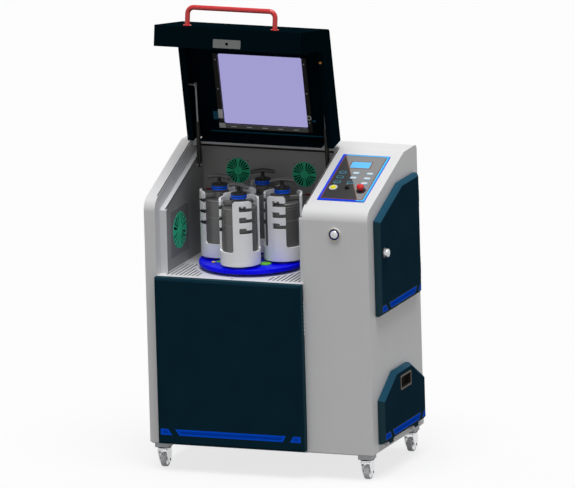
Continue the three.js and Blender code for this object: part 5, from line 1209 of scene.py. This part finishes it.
def film(name, outline, level, finish, thickness=FILM_THICKNESS):
    """One layer of film on the control panel's plate. Levels lie one above the other."""
    low = PLATE_FACE + level * FILM_STEP
    piece(name, prism(outline, low, low + thickness), finish, 0, place=SLOPE)


def inset_plate(inset):
    """The plate's left, right, front and rear, drawn in by an inset."""
    return PLATE_LEFT + inset, PLATE_RIGHT - inset, PLATE_FRONT + inset, PLATE_REAR - inset


def right_part(inset, gap):
    """The part of the plate to the right of the slanted line and a gap."""
    split_front, split_rear = SPLIT
    _, right, front, rear = inset_plate(inset)
    return [(split_front + gap, front), (right, front), (right, rear), (split_rear + gap, rear)]


def make_panel_film():
    film("panel_light_border", right_part(2, 0), 0, "plate_cyan")
    film("panel_line", rounded(rectangle(*inset_plate(10)), 6), 1, "plate_brown")
    left, _, front, rear = inset_plate(13.4)
    dark = [(left, front), (SPLIT[0] - 1, front), (SPLIT[1] - 1, rear), (left, rear)]
    film("panel_dark_part", dark, 2, "plate_dark")
    film("panel_gray_part", right_part(13.4, 1), 2, "plate_gray")
    film("screen_edge", rounded(SCREEN_EDGE, 4), 3, "plate_brown")
    film("screen", rounded(SCREEN, 3), 4, "screen_blue")
    for index in range(len(KEY_COLUMNS) * len(KEY_ROWS)):
        column, row = divmod(index, len(KEY_ROWS))
        x, y = KEY_COLUMNS[column] - BAY_RIGHT, KEY_ROWS[row]
        name = f"key_{len(KEY_COLUMNS) * row + column + 1}"
        face = "plate_dark" if column == 0 or column == 1 and row == 2 else "key_white"
        film(name, rounded(rectangle(x - 14, x + 14, y - 8, y + 8), 5), 3, "key_edge", KEY_THICKNESS)
        film(f"{name}_face", rounded(rectangle(x - 12, x + 12, y - 6, y + 6), 4), KEY_FACE_LEVEL, face)


# Operators and knobs: each piece's node and body, its name, shape, finish and rounding, and the node
# that it replaces
OPERATOR_ROWS = (
    ("start_button", "start_button", "start_cap",
     lathe([(0, -15), (11.4, -15), (11.4, 3), (10, 4.6), (0, 5)], 48), "button_yellow", 0.5, "start_button"),
    ("start_button", "cabinet", "start_ring",
     lathe([(12.4, 0.6), (17, 0.6), (17, 2.2), (15.6, 3), (12.4, 3)], 64), "key_white", 0.2),
    ("selector_knob", "selector", "selector_body",
     lathe([(0, -15), (5, -15), (5, 0.4), (9.4, 0.4), (10, 1), (9.6, 8), (8.8, 9), (0, 9)], 48),
     "knob_black", 0.5, "selector_knob"),
    ("selector_knob", "selector", "selector_grip",
     prism(rounded(rectangle(-3.2, 3.2, -9.8, 9.8), 2.6), 7, 14.6), "knob_black", 0.6),
    ("selector_knob", "selector", "selector_mark", block(-0.7, 0.7, 2, 9, 14.7, 15), "key_white", 0),
    ("emergency_stop", "cabinet", "stop_collar",
     lathe([(8.6, 0.6), (20, 0.6), (20, 1.4), (17.6, 4.6), (8.6, 5)], 56), "knob_black", 0.3),
    ("emergency_stop", "emergency_stop", "stop_head",
     lathe([(0, -15), (7.8, -15), (7.8, 13.8), (13.6, 13.8), (15, 15.6), (15, 22), (13, 25.6), (9, 26.6),
            (0, 26.8)], 56), "stop_red", 0.3, "emergency_stop"),
    ("power_button", "cabinet", "power_ring",
     lathe([(21.8, 5.8), (26.2, 5.8), (26.2, 6.3), (25.4, 6.8), (21.8, 6.8)], 72), "ring_cream", 0.3),
    ("power_button", "cabinet", "power_inner_ring", lathe(drum(21.7, 5.8, 7.2, 17.2), 72), "ring_navy", 0.2),
    ("power_button", "power_button", "power_dome",
     lathe([(0, -24), (16.4, -24), (16.4, 5.5), (15.4, 8), (12.8, 10.2), (8.6, 11.8), (0, 12.8)], 72),
     "chrome", 0.2, "power_button"),
    ("door_knob", "door_knob", "door_knob_head",
     lathe([(0, -13), (6, -13), (6, 0), (12, 0.2), (17, 1), (17, 14), (15.6, 18), (12, 20), (0, 20)], 64),
     "chrome", 0.2, "door_knob"),
    ("door_knob", "service_door", "door_knob_collar",
     lathe([(17.5, 0.2), (21, 0.2), (21, 1.4), (19, 2.6), (17.6, 1.6)], 64), "knob_black", 0.1))
DOOR_KNOB_HEIGHT = 20


def operator_place(node):
    """An operator's place, on the face of the cabinet or the plate that it stands on."""
    centre = middle(node)
    if node == "power_button":
        return CABINET @ shifted(centre.x, 0, centre.z) @ rotated(90, "X")
    if node == "door_knob":
        face = span(node)[1].x - DOOR_KNOB_HEIGHT
        return CABINET @ shifted(face, centre.y, centre.z) @ rotated(90, "Y")
    spot = SLOPE.inverted() @ CABINET @ centre
    return SLOPE @ shifted(spot.x, spot.y, PLATE_FACE)


def make_operators():
    for node, body, name, shape, finish, edge, *replaced in OPERATOR_ROWS:
        piece(name, shape, finish, edge, replaces=replaced, body=body, place=operator_place(node))


# The bezel of the hatch's pull, from the hatch's face
BEZEL_HEIGHTS = (0.1, 2.2)


def make_bezel():
    face = span("lower_hatch")[1].x
    left, right, foot, top = PULL
    outline = rounded(rectangle(left - 6, right + 6, foot - 6, top + 6), 6)
    hole = rounded(rectangle(left + 1, right - 1, foot + 1, top - 1), 4)
    bezel = prism(outline, *[face + height for height in BEZEL_HEIGHTS])
    cut_piece("hatch_bezel", bezel, prism(hole, 0, 2 * face), "bezel_brown", "lower_hatch", RIGHT_SIDE, 0.5)


# Casters: a fork with a black ring of painted shade in its swivel gap, and a two-tone wheel
CASTER_TRAIL = 10
FORK_ROWS = (
    # A black ring filling the swivel gap between the plate and the fork, painted shade
    ("caster_gap_{}", drum(29.4, -26.2, -23.4, 24), 56, "knob_black", 0),
    ("caster_head_{}", [(0, -37), (20, -37), (26, -34), (28, -29), (26, -26.6), (7, -26.4), (7, -8.4),
                        (0, -8.4)], 64, "caster_white", 0.4, "caster_fork_{}"))
WHEEL_ROWS = (
    ("wheel_tread_{}", [(23, -11), (27, -11), (29, -8), (29, 8), (27, 11), (23, 11)], 72, "tread_gray", 0.3,
     "caster_wheel_{}"),
    ("wheel_core_{}", [(4.4, -12), (9, -12), (10, -10), (21, -9), (22.8, -11), (22.8, 11), (21, 9),
                       (10, 10), (9, 12), (4.4, 12)], 56, "caster_white", 0.3))
CHEEK = rounded([(-1, -91), (21, -91), (28, -34), (-26, -34)], [8, 8, 3, 3])
CHEEK_SPANS = ((-21, -17), (17, 21))
AXLE = [(0, -21), (5.6, -21), (5.6, -19), (4, -19), (4, 19), (5.6, 19), (5.6, 21), (0, 21)]


def make_casters():
    cheeks = joined(*[placed(prism(CHEEK, low, high), SIDEWAYS) for low, high in CHEEK_SPANS])
    for number in range(1, 5):
        wheel = middle(f"caster_wheel_{number}")
        ride = dict(body=f"fork_{number}", place=CABINET @ shifted(wheel.x, wheel.y - CASTER_TRAIL, 0))
        turned(FORK_ROWS, number, **ride)
        piece(f"caster_cheeks_{number}", cheeks, "caster_white", 0.8, **ride)
        axle = placed(lathe(AXLE, 32), shifted(0, CASTER_TRAIL, wheel.z) @ rotated(90, "Y"))
        piece(f"caster_axle_{number}", axle, "rod_chrome", 0.3, **ride)
        spot = CABINET @ shifted(*wheel) @ rotated(90, "Y")
        turned(WHEEL_ROWS, number, body=f"wheel_{number}", place=spot)


make_camera()
make_studio()
dress_cabinet()
make_stripes()
make_disc()
make_jars()
make_fans()
make_chamber_trim()
make_window()
make_lid_fittings()
make_struts()
make_panel_film()
make_operators()
make_bezel()
make_casters()

bpy.context.view_layer.update()
